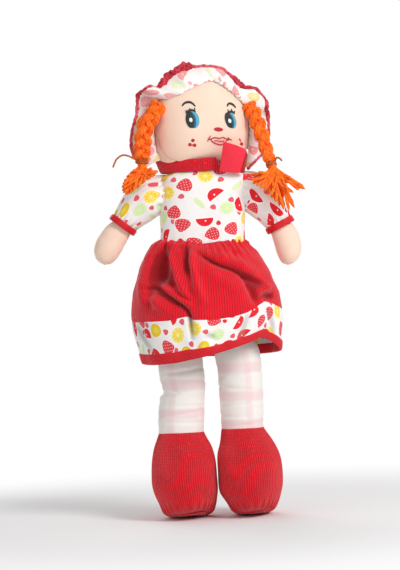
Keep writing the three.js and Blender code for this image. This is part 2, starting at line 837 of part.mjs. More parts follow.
function makeCrown() {
  const turns = Array.from({ length: headSides }, (unused, side) => (2 * Math.PI * side) / headSides);
  const shell = (ease) => {
    const front = gatherRowShares.map((backShare) => turns.map(
      (turn) => gatherPoint(turn, ease, clothWall + gatherGap, backShare),
    ));
    const rows = bowlShares.map((share, row) => {
      const puff = crownPuffDepth * Math.sin((Math.PI * (row + 1)) / bowlShares.length);
      return turns.map((turn) => headPoint(turn, share, napeDepth, crownGap + puff + ease));
    });
    return [...front, ...rows];
  };
  const bowl = manifoldOf(loft([...shell(clothWall).reverse(), ...shell(0)]));
  const size = 2 * (headHalfWidth + crownGap + crownPuffDepth + cutOverrunLength);
  const low = new THREE.BoxGeometry(size, size + 2 * napeDepth, size);
  low.translate(0, 0, headBottom + crownHemRise - size / 2);
  add('bonnet_crown', geometryOf(bowl.subtract(manifoldOf(low))), printCloth, head);
}

// A point of the frill: round the face, and from its gathered inner edge (0) to its bound edge (1)
function frillPoint(angle, share, beyond, setBack) {
  const topShare = Math.max(Math.sin(angle), 0) ** 2;
  const reach = frillWidth * share + beyond;
  const wave = frillWaveDepth * share * Math.sin(frillWaveCount * (angle - Math.PI / 2));
  return gatherPoint(angle, 0, setBack).add(new THREE.Vector3(
    reach * Math.cos(angle),
    frillFlareDepth * share * (1 - topShare) + wave,
    reach * Math.sin(angle),
  ));
}

function makeFrill() {
  const frill = [];
  const binding = [];
  const lead = (clothWall - bindingWall) / 2;
  for (let step = 0; step <= frillSteps; step += 1) {
    const degrees = frillStartDegrees + (frillSweepDegrees * step) / frillSteps;
    const angle = THREE.MathUtils.degToRad(degrees);
    const layer = (setBack) => frillRowShares.map((share) => frillPoint(angle, share, 0, setBack));
    frill.push([...layer(0), ...layer(clothWall).reverse()]);
    const edge = (beyond, setBack) => frillPoint(angle, 1, beyond, setBack);
    binding.push([
      edge(seamGap, lead),
      edge(frillBindingWidth, lead),
      edge(frillBindingWidth, lead + bindingWall),
      edge(seamGap, lead + bindingWall),
    ]);
  }
  add('bonnet_frill', loft(frill), printCloth, head);
  add('frill_binding', loft(binding), redBinding, head);
}

// Braid: a plump plait of yarn down to its tie, and the loose ends that spread below the tie
const braidSides = 10;
const tasselFlatShare = 0.5;
const braidSwellShares = [[0, 0.4], [0.1, 0.85], [0.3, 1], [0.6, 0.97], [0.85, 0.8], [1, 0.6]];
const tieSwellShares = [[0, 0.8], [0.3, 1], [0.7, 1], [1, 0.8]];
const tasselSwellShares = [[0, 0.45], [0.25, 0.7], [0.6, 1], [0.88, 0.95], [1, 0.7]];

// Places of the braids as shares of the head's half width, face depth and height
const leftBraidShares = [
  [0.938, -0.395, 0.628],
  [1.063, -0.462, 0.591],
  [1.146, -0.564, 0.384],
  [1.271, -0.769, 0.154],
  [1.344, -0.949, -0.076],
];
const leftTasselEndShares = [1.479, -1.385, -0.478];
const rightBraidShares = [
  [-0.917, -0.395, 0.671],
  [-1.063, -0.474, 0.637],
  [-1.25, -0.538, 0.453],
  [-1.396, -0.564, 0.223],
  [-1.438, -0.564, 0.016],
];
const rightTasselEndShares = [-1.625, -0.538, -0.352];

function besideHead([acrossShare, forwardShare, heightShare]) {
  return new THREE.Vector3(
    acrossShare * headHalfWidth,
    forwardShare * faceDepth,
    headBottom + heightShare * headHeight,
  );
}

function tubeAlong(curve, shares, radius, flat = 1) {
  return loft(shares.map(([place, radiusShare]) => {
    const point = curve.getPoint(place);
    const heading = curve.getTangent(place).normalize();
    const across = new THREE.Vector3(0, 1, 0).cross(heading).normalize();
    const deep = heading.clone().cross(across);
    const ring = [];
    for (let i = 0; i < braidSides; i += 1) {
      const angle = (2 * Math.PI * i) / braidSides;
      ring.push(point.clone()
        .addScaledVector(across, radius * radiusShare * Math.cos(angle))
        .addScaledVector(deep, radius * radiusShare * flat * Math.sin(angle)));
    }
    return ring;
  }));
}

function makeBraid(side, pathShares, endShares) {
  const path = pathShares.map(besideHead);
  const plait = new THREE.CatmullRomCurve3(path);
  add(`${side}_braid`, tubeAlong(plait, braidSwellShares, braidRadius), yarn, head);

  const low = path.at(-1);
  const end = besideHead(endShares);
  const heading = plait.getTangent(1).normalize();
  const tieTop = low.clone().addScaledVector(heading, seamGap);
  const tieEnd = tieTop.clone().addScaledVector(heading, tieHeight);
  const tie = new THREE.LineCurve3(tieTop, tieEnd);
  add(`${side}_braid_tie`, tubeAlong(tie, tieSwellShares, tieRadius), tieYarn, head);

  const from = tieEnd.clone().addScaledVector(heading, seamGap);
  const bend = from.clone().addScaledVector(heading, tieHeight);
  const spread = new THREE.QuadraticBezierCurve3(from, bend, end);
  const tassel = tubeAlong(spread, tasselSwellShares, tasselRadius, tasselFlatShare);
  add(`${side}_braid_tassel`, tassel, yarn, head);
}

makeTorso();
makeNeck();
makeHead();
makeBodice();
makeSkirt();
makeCollar();
makeCrown();
makeFrill();
for (const [side, sign] of [['left', 1], ['right', -1]]) {
  makeShoulderPad(side, sign);
  makeArm(side, sign);
  makeSleeve(side, sign);
  makeLeg(side, sign);
  makeShoe(side, sign);
}
makeBraid('left', leftBraidShares, leftTasselEndShares);
makeBraid('right', rightBraidShares, rightTasselEndShares);

export default group;
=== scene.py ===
# A rag doll, sewn, stuffed and dressed: frilled bonnet, yarn plaits, printed bodice, ribbed skirt.
# The doll stands and faces -Y; its left side is +X. Everything is in metres.
import json
import math

import bmesh
import bpy
import numpy as np
from mathutils import Matrix, Vector, noise
from mathutils.bvhtree import BVHTree


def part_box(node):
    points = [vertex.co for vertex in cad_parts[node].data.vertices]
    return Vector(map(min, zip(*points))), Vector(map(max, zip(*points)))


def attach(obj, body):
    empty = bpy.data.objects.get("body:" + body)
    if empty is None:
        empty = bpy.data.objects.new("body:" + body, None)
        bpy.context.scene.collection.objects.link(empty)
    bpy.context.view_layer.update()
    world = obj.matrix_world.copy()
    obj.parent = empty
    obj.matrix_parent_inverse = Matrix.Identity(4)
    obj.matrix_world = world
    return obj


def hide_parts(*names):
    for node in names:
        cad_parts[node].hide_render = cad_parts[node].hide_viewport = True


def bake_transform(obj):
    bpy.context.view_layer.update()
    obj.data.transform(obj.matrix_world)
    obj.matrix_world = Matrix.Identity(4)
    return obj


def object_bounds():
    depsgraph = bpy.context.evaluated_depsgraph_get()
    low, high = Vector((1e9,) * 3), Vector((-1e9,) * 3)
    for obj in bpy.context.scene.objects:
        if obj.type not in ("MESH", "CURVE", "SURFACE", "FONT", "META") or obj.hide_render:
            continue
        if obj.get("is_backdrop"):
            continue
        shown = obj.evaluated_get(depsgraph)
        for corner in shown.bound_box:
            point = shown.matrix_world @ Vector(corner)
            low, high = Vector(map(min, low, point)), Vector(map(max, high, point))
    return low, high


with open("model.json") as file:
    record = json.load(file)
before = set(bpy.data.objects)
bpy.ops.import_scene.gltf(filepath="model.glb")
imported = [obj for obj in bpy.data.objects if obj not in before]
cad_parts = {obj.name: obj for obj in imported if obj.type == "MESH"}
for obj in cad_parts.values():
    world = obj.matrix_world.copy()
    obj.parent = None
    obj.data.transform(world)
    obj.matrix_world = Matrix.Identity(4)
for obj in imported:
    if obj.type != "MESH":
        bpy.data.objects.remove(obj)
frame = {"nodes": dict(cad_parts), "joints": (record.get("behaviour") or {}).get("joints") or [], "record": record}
cad_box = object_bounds()

# Picture and camera. One pixel of the picture is one millimetre in the plane of the doll's middle.
# The camera stands level with that middle and is rolled a little, because the doll leans in the picture.
MM = 0.001
PICTURE_WIDTH = 400
PICTURE_HEIGHT = 570
CAMERA_AIM = Vector((-1.4, 0, 230.8)) * MM
CAMERA_DISTANCE = 2200 * MM
CAMERA_ROLL = math.radians(2.6)
SENSOR_WIDTH = 36

camera_right = Vector((math.cos(CAMERA_ROLL), 0, -math.sin(CAMERA_ROLL)))
camera_up = Vector((math.sin(CAMERA_ROLL), 0, math.cos(CAMERA_ROLL)))
camera_back = Vector((0, -1, 0))
camera_place = CAMERA_AIM + camera_back * CAMERA_DISTANCE


def sight(column, row):
    """The direction in which the camera sees a pixel of the picture."""
    across = (column - PICTURE_WIDTH / 2) * MM
    up = (PICTURE_HEIGHT / 2 - row) * MM
    return (camera_right * across + camera_up * up - camera_back * CAMERA_DISTANCE).normalized()


def seen_at(column, row, depth):
    """The point behind a pixel of the picture that lies at this Y."""
    ray = sight(column, row)
    return camera_place + ray * ((depth - camera_place.y) / ray.y)


camera_data = bpy.data.cameras.new("camera")
camera_data.sensor_width = SENSOR_WIDTH
camera_data.lens = SENSOR_WIDTH * CAMERA_DISTANCE / (PICTURE_HEIGHT * MM)
camera = bpy.data.objects.new("camera", camera_data)
axes = Matrix((camera_right, camera_up, camera_back)).transposed().to_4x4()
camera.matrix_world = Matrix.Translation(camera_place) @ axes
bpy.context.scene.collection.objects.link(camera)
bpy.context.scene.camera = camera
bpy.context.scene.view_settings.view_transform = "Standard"

# Studio: a pale floor, a white surround, and three large soft lamps, the strongest from the upper right.
WORLD_LIGHT = 0.42
FLOOR_HALF_SIZE = 12.0
FLOOR_WHITE_FROM = 0.22
FLOOR_WHITE_TO = 0.6
LAMPS = [
    ("key_lamp", (0.95, -1.05, 1.05), 0.6, 16.0),
    ("fill_lamp", (-0.9, -1.5, 0.5), 1.2, 4.0),
    ("back_lamp", (-0.4, 1.3, 1.0), 1.1, 9.0),
]


def linear(code):
    """An sRGB hex colour as the linear colour that a shader takes."""
    parts = [int(code[i:i + 2], 16) / 255 for i in (1, 3, 5)]
    return [p / 12.92 if p <= 0.04045 else ((p + 0.055) / 1.055) ** 2.4 for p in parts] + [1]


def add_node(tree, kind, inputs=None, **settings):
    """Adds a node, makes its settings, and sets or links its inputs."""
    made = tree.nodes.new(kind)
    for name, value in settings.items():
        setattr(made, name, value)
    for name, value in (inputs or {}).items():
        if isinstance(value, bpy.types.NodeSocket):
            tree.links.new(value, made.inputs[name])
        else:
            made.inputs[name].default_value = value
    return made


def compute(tree, operation, *values):
    """The result of one sum over numbers and sockets."""
    return add_node(tree, "ShaderNodeMath", dict(enumerate(values)), operation=operation).outputs[0]


def ramp(tree, value, start, end, low=0.0, high=1.0, soft=False):
    """A value carried from one range to another, evenly or with soft ends."""
    return add_node(tree, "ShaderNodeMapRange", {
        "Value": value, "From Min": start, "From Max": end, "To Min": low, "To Max": high,
    }, interpolation_type="SMOOTHSTEP" if soft else "LINEAR").outputs[0]


for name, place, size, watts in LAMPS:
    lamp = bpy.data.lights.new(name, "AREA")
    lamp.size = size
    lamp.energy = watts
    holder = bpy.data.objects.new(name, lamp)
    holder.location = place
    holder.rotation_euler = (CAMERA_AIM - Vector(place)).to_track_quat("-Z", "Y").to_euler()
    bpy.context.scene.collection.objects.link(holder)

world = bpy.data.worlds.new("studio")
world.use_nodes = True
tree = world.node_tree
tree.nodes.clear()
path = add_node(tree, "ShaderNodeLightPath").outputs
mirrored = compute(tree, "MAXIMUM", path["Is Glossy Ray"], path["Is Transmission Ray"])
shown = compute(tree, "MAXIMUM", path["Is Camera Ray"], mirrored)
light = add_node(tree, "ShaderNodeBackground", {"Color": linear("#FFFFFF"), "Strength": WORLD_LIGHT})
white = add_node(tree, "ShaderNodeBackground", {"Color": linear("#FFFFFF"), "Strength": 1.0})
mixed = add_node(tree, "ShaderNodeMixShader", {0: shown, 1: light.outputs[0], 2: white.outputs[0]})
add_node(tree, "ShaderNodeOutputWorld", {"Surface": mixed.outputs[0]})
bpy.context.scene.world = world

floor_material = bpy.data.materials.new("pale_paper")
floor_material.use_nodes = True
tree = floor_material.node_tree
tree.nodes.clear()
path = add_node(tree, "ShaderNodeLightPath").outputs
# Near the doll the paper takes its soft shadow; farther off the picture shows it as plain white.
place = add_node(tree, "ShaderNodeTexCoord").outputs["Object"]
away = add_node(tree, "ShaderNodeVectorMath", {0: place}, operation="LENGTH").outputs["Value"]
far = ramp(tree, away, FLOOR_WHITE_FROM, FLOOR_WHITE_TO, soft=True)
plain = compute(tree, "MULTIPLY", far, path["Is Camera Ray"])
paper = add_node(tree, "ShaderNodeBsdfDiffuse", {"Color": linear("#F2F2F2")})
glow = add_node(tree, "ShaderNodeEmission", {"Color": linear("#FFFFFF"), "Strength": 1.0})
mixed = add_node(tree, "ShaderNodeMixShader", {0: plain, 1: paper.outputs[0], 2: glow.outputs[0]})
add_node(tree, "ShaderNodeOutputMaterial", {"Surface": mixed.outputs[0]})

bm = bmesh.new()
bmesh.ops.create_grid(bm, x_segments=8, y_segments=8, size=FLOOR_HALF_SIZE)
floor_mesh = bpy.data.meshes.new("floor")
bm.to_mesh(floor_mesh)
bm.free()
floor_mesh.materials.append(floor_material)
floor = bpy.data.objects.new("floor", floor_mesh)
bpy.context.scene.collection.objects.link(floor)
floor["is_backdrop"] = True

# Cloth in general: a soft, matt surface with a weave or knit too fine to model, and a thin wall.
SAME_POINT = 0.001 * MM


def start_material(name, roughness, sheen=0.25):
    """Starts a cloth material and gives back it, its node tree and its shader."""
    material = bpy.data.materials.new(name)
    material.use_nodes = True
    tree = material.node_tree
    tree.nodes.clear()
    shader = add_node(tree, "ShaderNodeBsdfPrincipled", {
        "Roughness": roughness, "Specular IOR Level": 0.3,
        "Sheen Weight": sheen, "Sheen Roughness": 0.5,
    })
    add_node(tree, "ShaderNodeOutputMaterial", {"Surface": shader.outputs[0]})
    return material, tree, shader


def mix(tree, share, under, over):
    """The colour at a share between two, each of them a hex colour or a socket."""
    tones = [linear(tone) if isinstance(tone, str) else tone for tone in (under, over)]
    return add_node(tree, "ShaderNodeMix", {0: share, 6: tones[0], 7: tones[1]}, data_type="RGBA").outputs[2]


def clouds(tree, place, size, detail=3.0, roughness=0.5):
    """Soft random light and dark over some coordinates, with spots of about this size."""
    return add_node(tree, "ShaderNodeTexNoise", {
        "Vector": place, "Scale": 1 / size, "Detail": detail, "Roughness": roughness,
    }).outputs["Fac"]


def bands(tree, place, spacing, way, waver, detail=1.0):
    """Close parallel threads, this far apart, square to one way and a little wavering."""
    return add_node(tree, "ShaderNodeTexWave", {
        "Vector": place, "Scale": math.pi / 10 / spacing, "Distortion": waver, "Detail": detail,
    }, bands_direction=way).outputs["Fac"]


def own_place(tree):
    """The coordinates of a piece's points in the doll's own space."""
    return add_node(tree, "ShaderNodeTexCoord").outputs["Object"]


def cloth_place(tree):
    """The coordinates of a piece's points on its flat cut of cloth."""
    return add_node(tree, "ShaderNodeUVMap", uv_map="cloth").outputs["UV"]


def finish_surface(tree, shader, tone, height, distance, strength):
    """Gives the shader its colour, and turns a height into its bump."""
    bump = add_node(tree, "ShaderNodeBump", {
        "Height": height, "Distance": distance, "Strength": strength,
    })
    tree.links.new(bump.outputs[0], shader.inputs["Normal"])
    tree.links.new(tone, shader.inputs["Base Color"])


def copy_of(node):
    """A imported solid's surface as a bmesh, merged and turned back into quads."""
    bm = bmesh.new()
    bm.from_mesh(frame["nodes"][node].data)
    bmesh.ops.remove_doubles(bm, verts=bm.verts, dist=SAME_POINT)
    bmesh.ops.join_triangles(
        bm, faces=bm.faces, angle_face_threshold=math.radians(35), angle_shape_threshold=math.radians(60),
    )
    return bm


def make_piece(name, bm, material, wall=0.0, levels=0, toward=None):
    """Turns a bmesh into a smooth piece with its wall. It faces outward, or toward a direction."""
    middle = sum((vert.co for vert in bm.verts), Vector()) / len(bm.verts)
    bm.normal_update()
    facing = sum(
        f.normal.dot(toward or f.calc_center_median() - middle) * f.calc_area() for f in bm.faces
    )
    if facing < 0:
        bmesh.ops.reverse_faces(bm, faces=bm.faces)
    if wall:
        bm.normal_update()
        bmesh.ops.solidify(bm, geom=bm.faces, thickness=wall)
    bm.normal_update()
    for edge in bm.edges:
        edge.smooth = edge.calc_face_angle(0) < math.radians(62)
    mesh = bpy.data.meshes.new(name)
    bm.to_mesh(mesh)
    bm.free()
    mesh.polygons.foreach_set("use_smooth", [True] * len(mesh.polygons))
    mesh.materials.append(material)
    piece = bpy.data.objects.new(name, mesh)
    bpy.context.scene.collection.objects.link(piece)
    if levels:
        smooth = piece.modifiers.new("smooth", "SUBSURF")
        smooth.levels = levels
        smooth.render_levels = levels
    return piece


body_of = {node: body for body, nodes in frame["record"]["behaviour"]["bodies"].items() for node in nodes}

# Skin: a thin brushed knit in peach, sewn wrong side out and turned. It covers torso, neck, arms
# and head, and its loops are far finer than the cloth of the dress.
SKIN_LOOP = 1.1 * MM
SKIN_RELIEF = 0.12 * MM
SKIN_CLOUD = 30 * MM


def knit_height(tree, place, spacing):
    """A fine grid of loops, this far apart, over any coordinates."""
    rows, columns = (bands(tree, place, spacing, way, 1.5) for way in "XZ")
    return compute(tree, "MULTIPLY", rows, columns)


def jersey(name, blush_places=()):
    """Brushed knit: matt and soft, the loops only just seen, with pink rubbed in where it blushes."""
    material, tree, shader = start_material(name, 0.75, sheen=0.35)
    place = own_place(tree)
    tone = mix(tree, clouds(tree, place, SKIN_CLOUD), "#F3D0B8", "#FADFCB")
    for spot, radius, share in blush_places:
        away = add_node(tree, "ShaderNodeVectorMath", {0: place, 1: spot}, operation="DISTANCE")
        blushing = ramp(tree, away.outputs["Value"], 0.0, radius, share, 0.0, soft=True)
        tone = mix(tree, blushing, tone, "#F28A80")
    finish_surface(tree, shader, tone, knit_height(tree, place, SKIN_LOOP), SKIN_RELIEF, 0.5)
    return material


skin = jersey("brushed_knit")
for node, name in [
    ("torso_cover", "torso_skin"), ("neck", "neck_stump"),
    ("left_shoulder_seam", "left_shoulder_gather"), ("right_shoulder_seam", "right_shoulder_gather"),
]:
    piece = make_piece(name, copy_of(node), skin, levels=1)
    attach(piece, body_of[node])
    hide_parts(node)

# Head: a face panel and a back panel of skin knit, seamed from ear to ear over the crown. It is turned
# towards the doll's left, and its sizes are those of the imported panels.
HEAD_TURN = math.radians(17)
HEAD_MIDDLE_SHARE = 0.471
CROWN_ROUNDNESS = 2.2
JAW_ROUNDNESS = 3.9
JAW_DROP = 9.5 * MM
SEAM_LEAN = 0.5
SEAM_SIDE_SHARE = 0.18
HEAD_FULLNESS = 1.6 * MM
HEAD_CUTS = 27
SEAM_DEPTH = 0.9 * MM
SEAM_WIDTH = 2.2 * MM
COVER_WALL = 1.0 * MM

pivots = {joint["name"]: Vector(joint["pos_m"]) for joint in frame["joints"]}
neck_axis = Vector((pivots["neck_turn"].x, pivots["neck_turn"].y, 0))
head_place = Matrix.Translation(neck_axis) @ Matrix.Rotation(HEAD_TURN, 4, "Z")
head_upright = head_place.inverted()


def close_to(away, reach):
    """1 on a line, and falling smoothly to nothing within about two reaches of it."""
    return math.exp(-((away / reach) ** 2))


def span(node, upright):
    """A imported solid's lowest and highest corner after it is turned upright."""
    points = [upright @ vert.co for vert in frame["nodes"][node].data.vertices]
    return [Vector([pick(p[i] for p in points) for i in range(3)]) for pick in (min, max)]


face_low, face_high = span("face_panel", head_upright)
nape_high = span("head_back_panel", head_upright)[1]
head_half_width = (face_high.x - face_low.x) / 2 + HEAD_FULLNESS
head_height = face_high.z - face_low.z
head_middle = face_low.z + HEAD_MIDDLE_SHARE * head_height


def head_point(direction, ease=0.0):
    """The point of the head in a direction from its middle, or of a form that lies ease outside it."""
    spread = math.hypot(direction.x, direction.z)
    across = direction.x / spread if spread > 1e-9 else 1
    rise = direction.z / spread if spread > 1e-9 else 0
    if rise > 0:
        high, power = (1 - HEAD_MIDDLE_SHARE) * head_height, CROWN_ROUNDNESS
    else:
        high, power = HEAD_MIDDLE_SHARE * head_height + JAW_DROP, JAW_ROUNDNESS
    depth = -face_low.y if direction.y < 0 else nape_high.y
    spread *= (abs(across) ** power + abs(rise) ** power) ** (-1 / power)
    return head_place @ Vector((
        (head_half_width + ease) * across * spread,
        (depth + ease) * direction.y,
        head_middle + (high + ease) * rise * spread,
    ))


def head_panel(front):
    """One half of the head, cut off at the seam, which is drawn in and comes forward under the jaw."""
    bm = bmesh.new()
    bmesh.ops.create_cube(bm, size=2)
    bmesh.ops.subdivide_edges(bm, edges=bm.edges, cuts=HEAD_CUTS, use_grid_fill=True)
    for vert in bm.verts:
        vert.co.normalize()
    bmesh.ops.bisect_plane(
        bm, geom=bm.verts[:] + bm.edges[:] + bm.faces[:], plane_co=(0, 0, 0),
        plane_no=(0, front, 0), clear_outer=True,
    )
    for vert in bm.verts:
        from_seam = abs(vert.co.y) * -face_low.y
        pull = SEAM_DEPTH * close_to(from_seam, SEAM_WIDTH)
        side_share = SEAM_SIDE_SHARE * (1 - max(0.0, vert.co.z))
        lean = SEAM_LEAN * (side_share + (1 - SEAM_SIDE_SHARE) * max(0.0, -vert.co.z))
        ahead = vert.co.y - lean * (1 - abs(vert.co.y))
        vert.co = head_point(Vector((vert.co.x, ahead, vert.co.z)).normalized(), -pull)
    return bm


BESIDE_FACE = -15 * MM
BLUSH_PIXELS = [
    # pixel, reach, and how strong it is
    (157, 120, 15 * MM, 0.6), (157, 140, 14 * MM, 0.25), (246, 124, 13 * MM, 0.4), (247, 143, 15 * MM, 0.38),
]
bm = head_panel(1)
face_tree = BVHTree.FromBMesh(bm)


def on_face(column, row, lift=0.0):
    """The point of the face that the camera sees at a pixel, raised a little off the cloth."""
    hit, normal = face_tree.ray_cast(camera_place, sight(column, row))[:2]
    if hit is None:
        hit, normal = face_tree.find_nearest(seen_at(column, row, BESIDE_FACE))[:2]
    if normal.dot(camera_back) < 0:
        normal = -normal
    return hit + normal * lift


blushes = [(on_face(column, row), radius, share) for column, row, radius, share in BLUSH_PIXELS]
face_knit = jersey("face_knit", blushes)
for name, node, bm, material in [
    ("face_skin", "face_panel", bm, face_knit),
    ("nape_skin", "head_back_panel", head_panel(-1), face_knit),
]:
    piece = make_piece(name, bm, material, wall=COVER_WALL, levels=1)
    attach(piece, "head")
    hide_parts(node)

# Embroidery: the face is worked in satin stitch on the face panel, so each feature stands a little
# proud of the knit. Eyes in black-green, blue and white, and nose, mouth and cheek dots in red.
STITCH_LIFT = 0.25 * MM
STITCH_CROWN = 0.35 * MM
THREAD_SPACING = 0.7 * MM
THREAD_RELIEF = 0.15 * MM
STITCH_WALL = 0.3 * MM
STEPS_PER_PIXEL = 5
EYES = [
    # layers from the cloth up: name, middle, half sizes in pixels, and how far the oval leans
    [
        ("bright_blue", (193.0, 119.5), (6.4, 8.8), -0.12), ("deep_blue", (191.8, 119.8), (5.5, 8.3), -0.12),
        ("dark", (190.6, 119.8), (4.8, 8.2), -0.12), ("white", (191.1, 119.9), (2.1, 2.7), -0.1),
    ],
    [
        ("bright_blue", (230.9, 120.2), (5.1, 8.3), -0.24), ("deep_blue", (229.9, 120.3), (4.4, 7.8), -0.24),
        ("dark", (228.9, 120.3), (3.9, 7.7), -0.24), ("white", (229.5, 120.8), (1.9, 2.7), -0.2),
    ],
]
BROWS = [
    [(182.1, 106.1), (184.0, 103.7), (187.0, 102.3), (189.9, 102.3), (192.6, 103.6), (195.6, 106.6)],
    [(227.1, 106.6), (228.0, 104.4), (229.8, 103.5), (232.0, 104.2), (233.8, 105.5), (235.7, 107.8)],
]
LASHES = [
    [(187.0, 112.5), (186.2, 111.3), (185.6, 110.1)], [(189.9, 110.6), (189.8, 109.4), (189.6, 108.2)],
    [(194.7, 110.3), (194.8, 109.1), (194.6, 107.9)], [(228.5, 111.7), (228.0, 110.5), (227.7, 109.3)],
    [(231.5, 111.1), (231.5, 110.0), (231.4, 108.9)], [(234.0, 113.0), (234.4, 112.0), (234.5, 111.0)],
]
LIDS = [
    [(186.3, 113.6), (187.0, 112.3), (188.6, 110.9), (191.2, 110.2), (193.9, 110.6), (196.0, 112.0)],
    [(226.6, 114.8), (227.3, 113.3), (228.7, 112.2), (230.9, 111.7), (233.0, 112.4), (234.3, 114.0)],
]
MOUTH = [
    [(210.8, 135.8), (209.2, 137.9), (208.4, 139.5), (207.7, 141.4)],
    [(208.4, 138.8), (210.2, 139.3), (212.1, 139.3)],
    [
        (210.4, 139.5), (212.1, 138.3), (215.4, 137.6), (219.4, 138.4), (222.8, 137.4), (225.5, 138.4),
        (228.7, 140.1),
    ],
    [(210.8, 139.8), (212.7, 141.9), (216.4, 143.8), (220.7, 144.6), (223.9, 143.3), (226.8, 141.0)],
    [(214.3, 140.7), (217.5, 140.6), (220.7, 141.3), (224.5, 140.6)],
    [(227.6, 137.4), (229.3, 138.9), (231.6, 140.0)],
    [(229.3, 138.9), (228.0, 139.6), (226.6, 140.2)],
]
CHEEK_DOTS = [(193.0, 140.4), (190.0, 144.6), (194.6, 145.2), (241.6, 143.9)]
CHEEK_DOT_SIZE = (1.8, 1.8)
CHEEK_DASHES = [
    [(239.1, 138.3), (239.9, 139.9), (240.6, 141.4)], [(190.0, 144.7), (192.3, 144.9), (194.6, 145.2)],
]
NOSE, NOSE_SIZE, NOSE_LEAN = (218.5, 129.4), (4.7, 2.1), -0.25
LIP, LIP_SIZE = (219.4, 140.9), (7.0, 2.3)
STITCH_SUNK = 0.1 * MM
LAYER_LIFT = 0.13 * MM
LID_LIFT = 0.45 * MM
MOUTH_LIFT = 0.15 * MM


def laid(bm, around, along, flat, place, closed=True):
    """Adds a flat cut of cloth to bm, and lays its points by place(u, v), u and v from 0 to 1."""
    uv = bm.loops.layers.uv.get("cloth") or bm.loops.layers.uv.new("cloth")
    made = bmesh.ops.create_grid(bm, x_segments=around, y_segments=along, size=0.5)["verts"]
    for face in {face for vert in made for face in vert.link_faces}:
        for loop in face.loops:
            spot = loop.vert.co
            loop[uv].uv = ((spot.x + 0.5) * flat[0], (spot.y + 0.5) * flat[1])
    for vert in made:
        vert.co = place(vert.co.x + 0.5, vert.co.y + 0.5)
    if closed:
        bmesh.ops.remove_doubles(bm, verts=made, dist=SAME_POINT)
    return bm


def smooth_line(points, steps):
    """Evenly spread places along a smooth line through a few points."""
    points = [Vector(point) for point in points]
    ends = [2 * points[0] - points[1], *points, 2 * points[-1] - points[-2]]
    line = []
    for step in range(steps + 1):
        along = step / steps * (len(points) - 1)
        i = min(int(along), len(points) - 2)
        t = along - i
        a, b, c, d = ends[i:i + 4]
        bent = (2 * a - 5 * b + 4 * c - d) * t ** 2 + (3 * b - a - 3 * c + d) * t ** 3
        line.append(0.5 * (2 * b + (c - a) * t + bent))
    return line


def stitched_stroke(bm, pixels, width, lift=STITCH_LIFT, blunt=0.35):
    """A tapering stroke of satin stitch along some pixels of the face."""
    steps = STEPS_PER_PIXEL * len(pixels)
    line = smooth_line([(*pixel, 0) for pixel in pixels], steps)

    def place(u, v):
        i = min(int(round(v * steps)), steps)
        ahead = line[min(i + 1, steps)] - line[max(i - 1, 0)]
        square = Vector((-ahead.y, ahead.x, 0)).normalized()
        half = width / 2 * (blunt + (1 - blunt) * math.sin(math.pi * v) ** 0.5)
        spot = line[i] + square * half * (2 * u - 1)
        return on_face(spot.x, spot.y, lift - STITCH_SUNK + STITCH_CROWN * math.sin(math.pi * u))

    return laid(bm, 4, steps, (width * MM, width * len(pixels) * MM), place, closed=False)


def stitched_oval(bm, middle, half, lean=0.0, lift=STITCH_LIFT):
    """A domed oval of satin stitch about a pixel of the face."""

    def place(u, v):
        across = half[0] * v * math.cos(2 * math.pi * u)
        down = half[1] * v * math.sin(2 * math.pi * u)
        crown = STITCH_CROWN * (1 - v ** 4)
        return on_face(middle[0] + across - lean * down, middle[1] + down, lift - STITCH_SUNK + crown)

    return laid(bm, 28, 6, (2 * half[0] * MM, 2 * half[1] * MM), place)


def satin_stitch(name, dark, bright):
    """Rayon thread in close parallel stitches: a soft shine, and fine lines along each stroke."""
    material, tree, shader = start_material(name, 0.45, sheen=0.1)
    lines = bands(tree, own_place(tree), THREAD_SPACING, "DIAGONAL", 0.6, 2.0)
    finish_surface(tree, shader, mix(tree, lines, dark, bright), lines, THREAD_RELIEF, 0.6)
    return material


threads = {
    "bright_blue": satin_stitch("bright_blue_thread", "#3C93B4", "#62B9D2"),
    "deep_blue": satin_stitch("deep_blue_thread", "#174A68", "#245F80"),
    "dark": satin_stitch("black_green_thread", "#18211F", "#2B3634"),
    "white": satin_stitch("white_thread", "#F1F1EC", "#FFFFFF"),
}
red_thread = satin_stitch("red_thread", "#B01C2A", "#CC2E3A")
pink_thread = satin_stitch("pink_thread", "#F5B8AC", "#F9C8BA")

embroidery = []
for side, layers in zip(("right", "left"), EYES):
    for number, (name, middle, half, lean) in enumerate(layers):
        bm = bmesh.new()
        stitched_oval(bm, middle, half, lean, lift=STITCH_LIFT + LAYER_LIFT * number)
        embroidery.append((f"{side}_eye_{name}", bm, threads[name]))
bm = bmesh.new()
for stroke in BROWS:
    stitched_stroke(bm, stroke, 2.4)
embroidery.append(("brow_stitches", bm, threads["dark"]))
bm = bmesh.new()
for stroke in LASHES:
    stitched_stroke(bm, stroke, 1.3)
for stroke in LIDS:
    stitched_stroke(bm, stroke, 2.2, lift=STITCH_LIFT + LID_LIFT)
embroidery.append(("lash_stitches", bm, threads["dark"]))
bm = bmesh.new()
stitched_oval(bm, NOSE, NOSE_SIZE, lean=NOSE_LEAN)
embroidery.append(("nose_stitches", bm, red_thread))
bm = bmesh.new()
stitched_oval(bm, LIP, LIP_SIZE, lift=STITCH_LIFT - STITCH_SUNK)
embroidery.append(("lip_stitches", bm, pink_thread))
bm = bmesh.new()
for stroke in MOUTH + CHEEK_DASHES:
    stitched_stroke(bm, stroke, 1.25, lift=STITCH_LIFT + MOUTH_LIFT, blunt=0.6)
for dot in CHEEK_DOTS:
    stitched_oval(bm, dot, CHEEK_DOT_SIZE)
embroidery.append(("mouth_and_cheek_stitches", bm, red_thread))
for name, bm, thread in embroidery:
    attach(make_piece(name, bm, thread, wall=STITCH_WALL, toward=camera_back), "head")

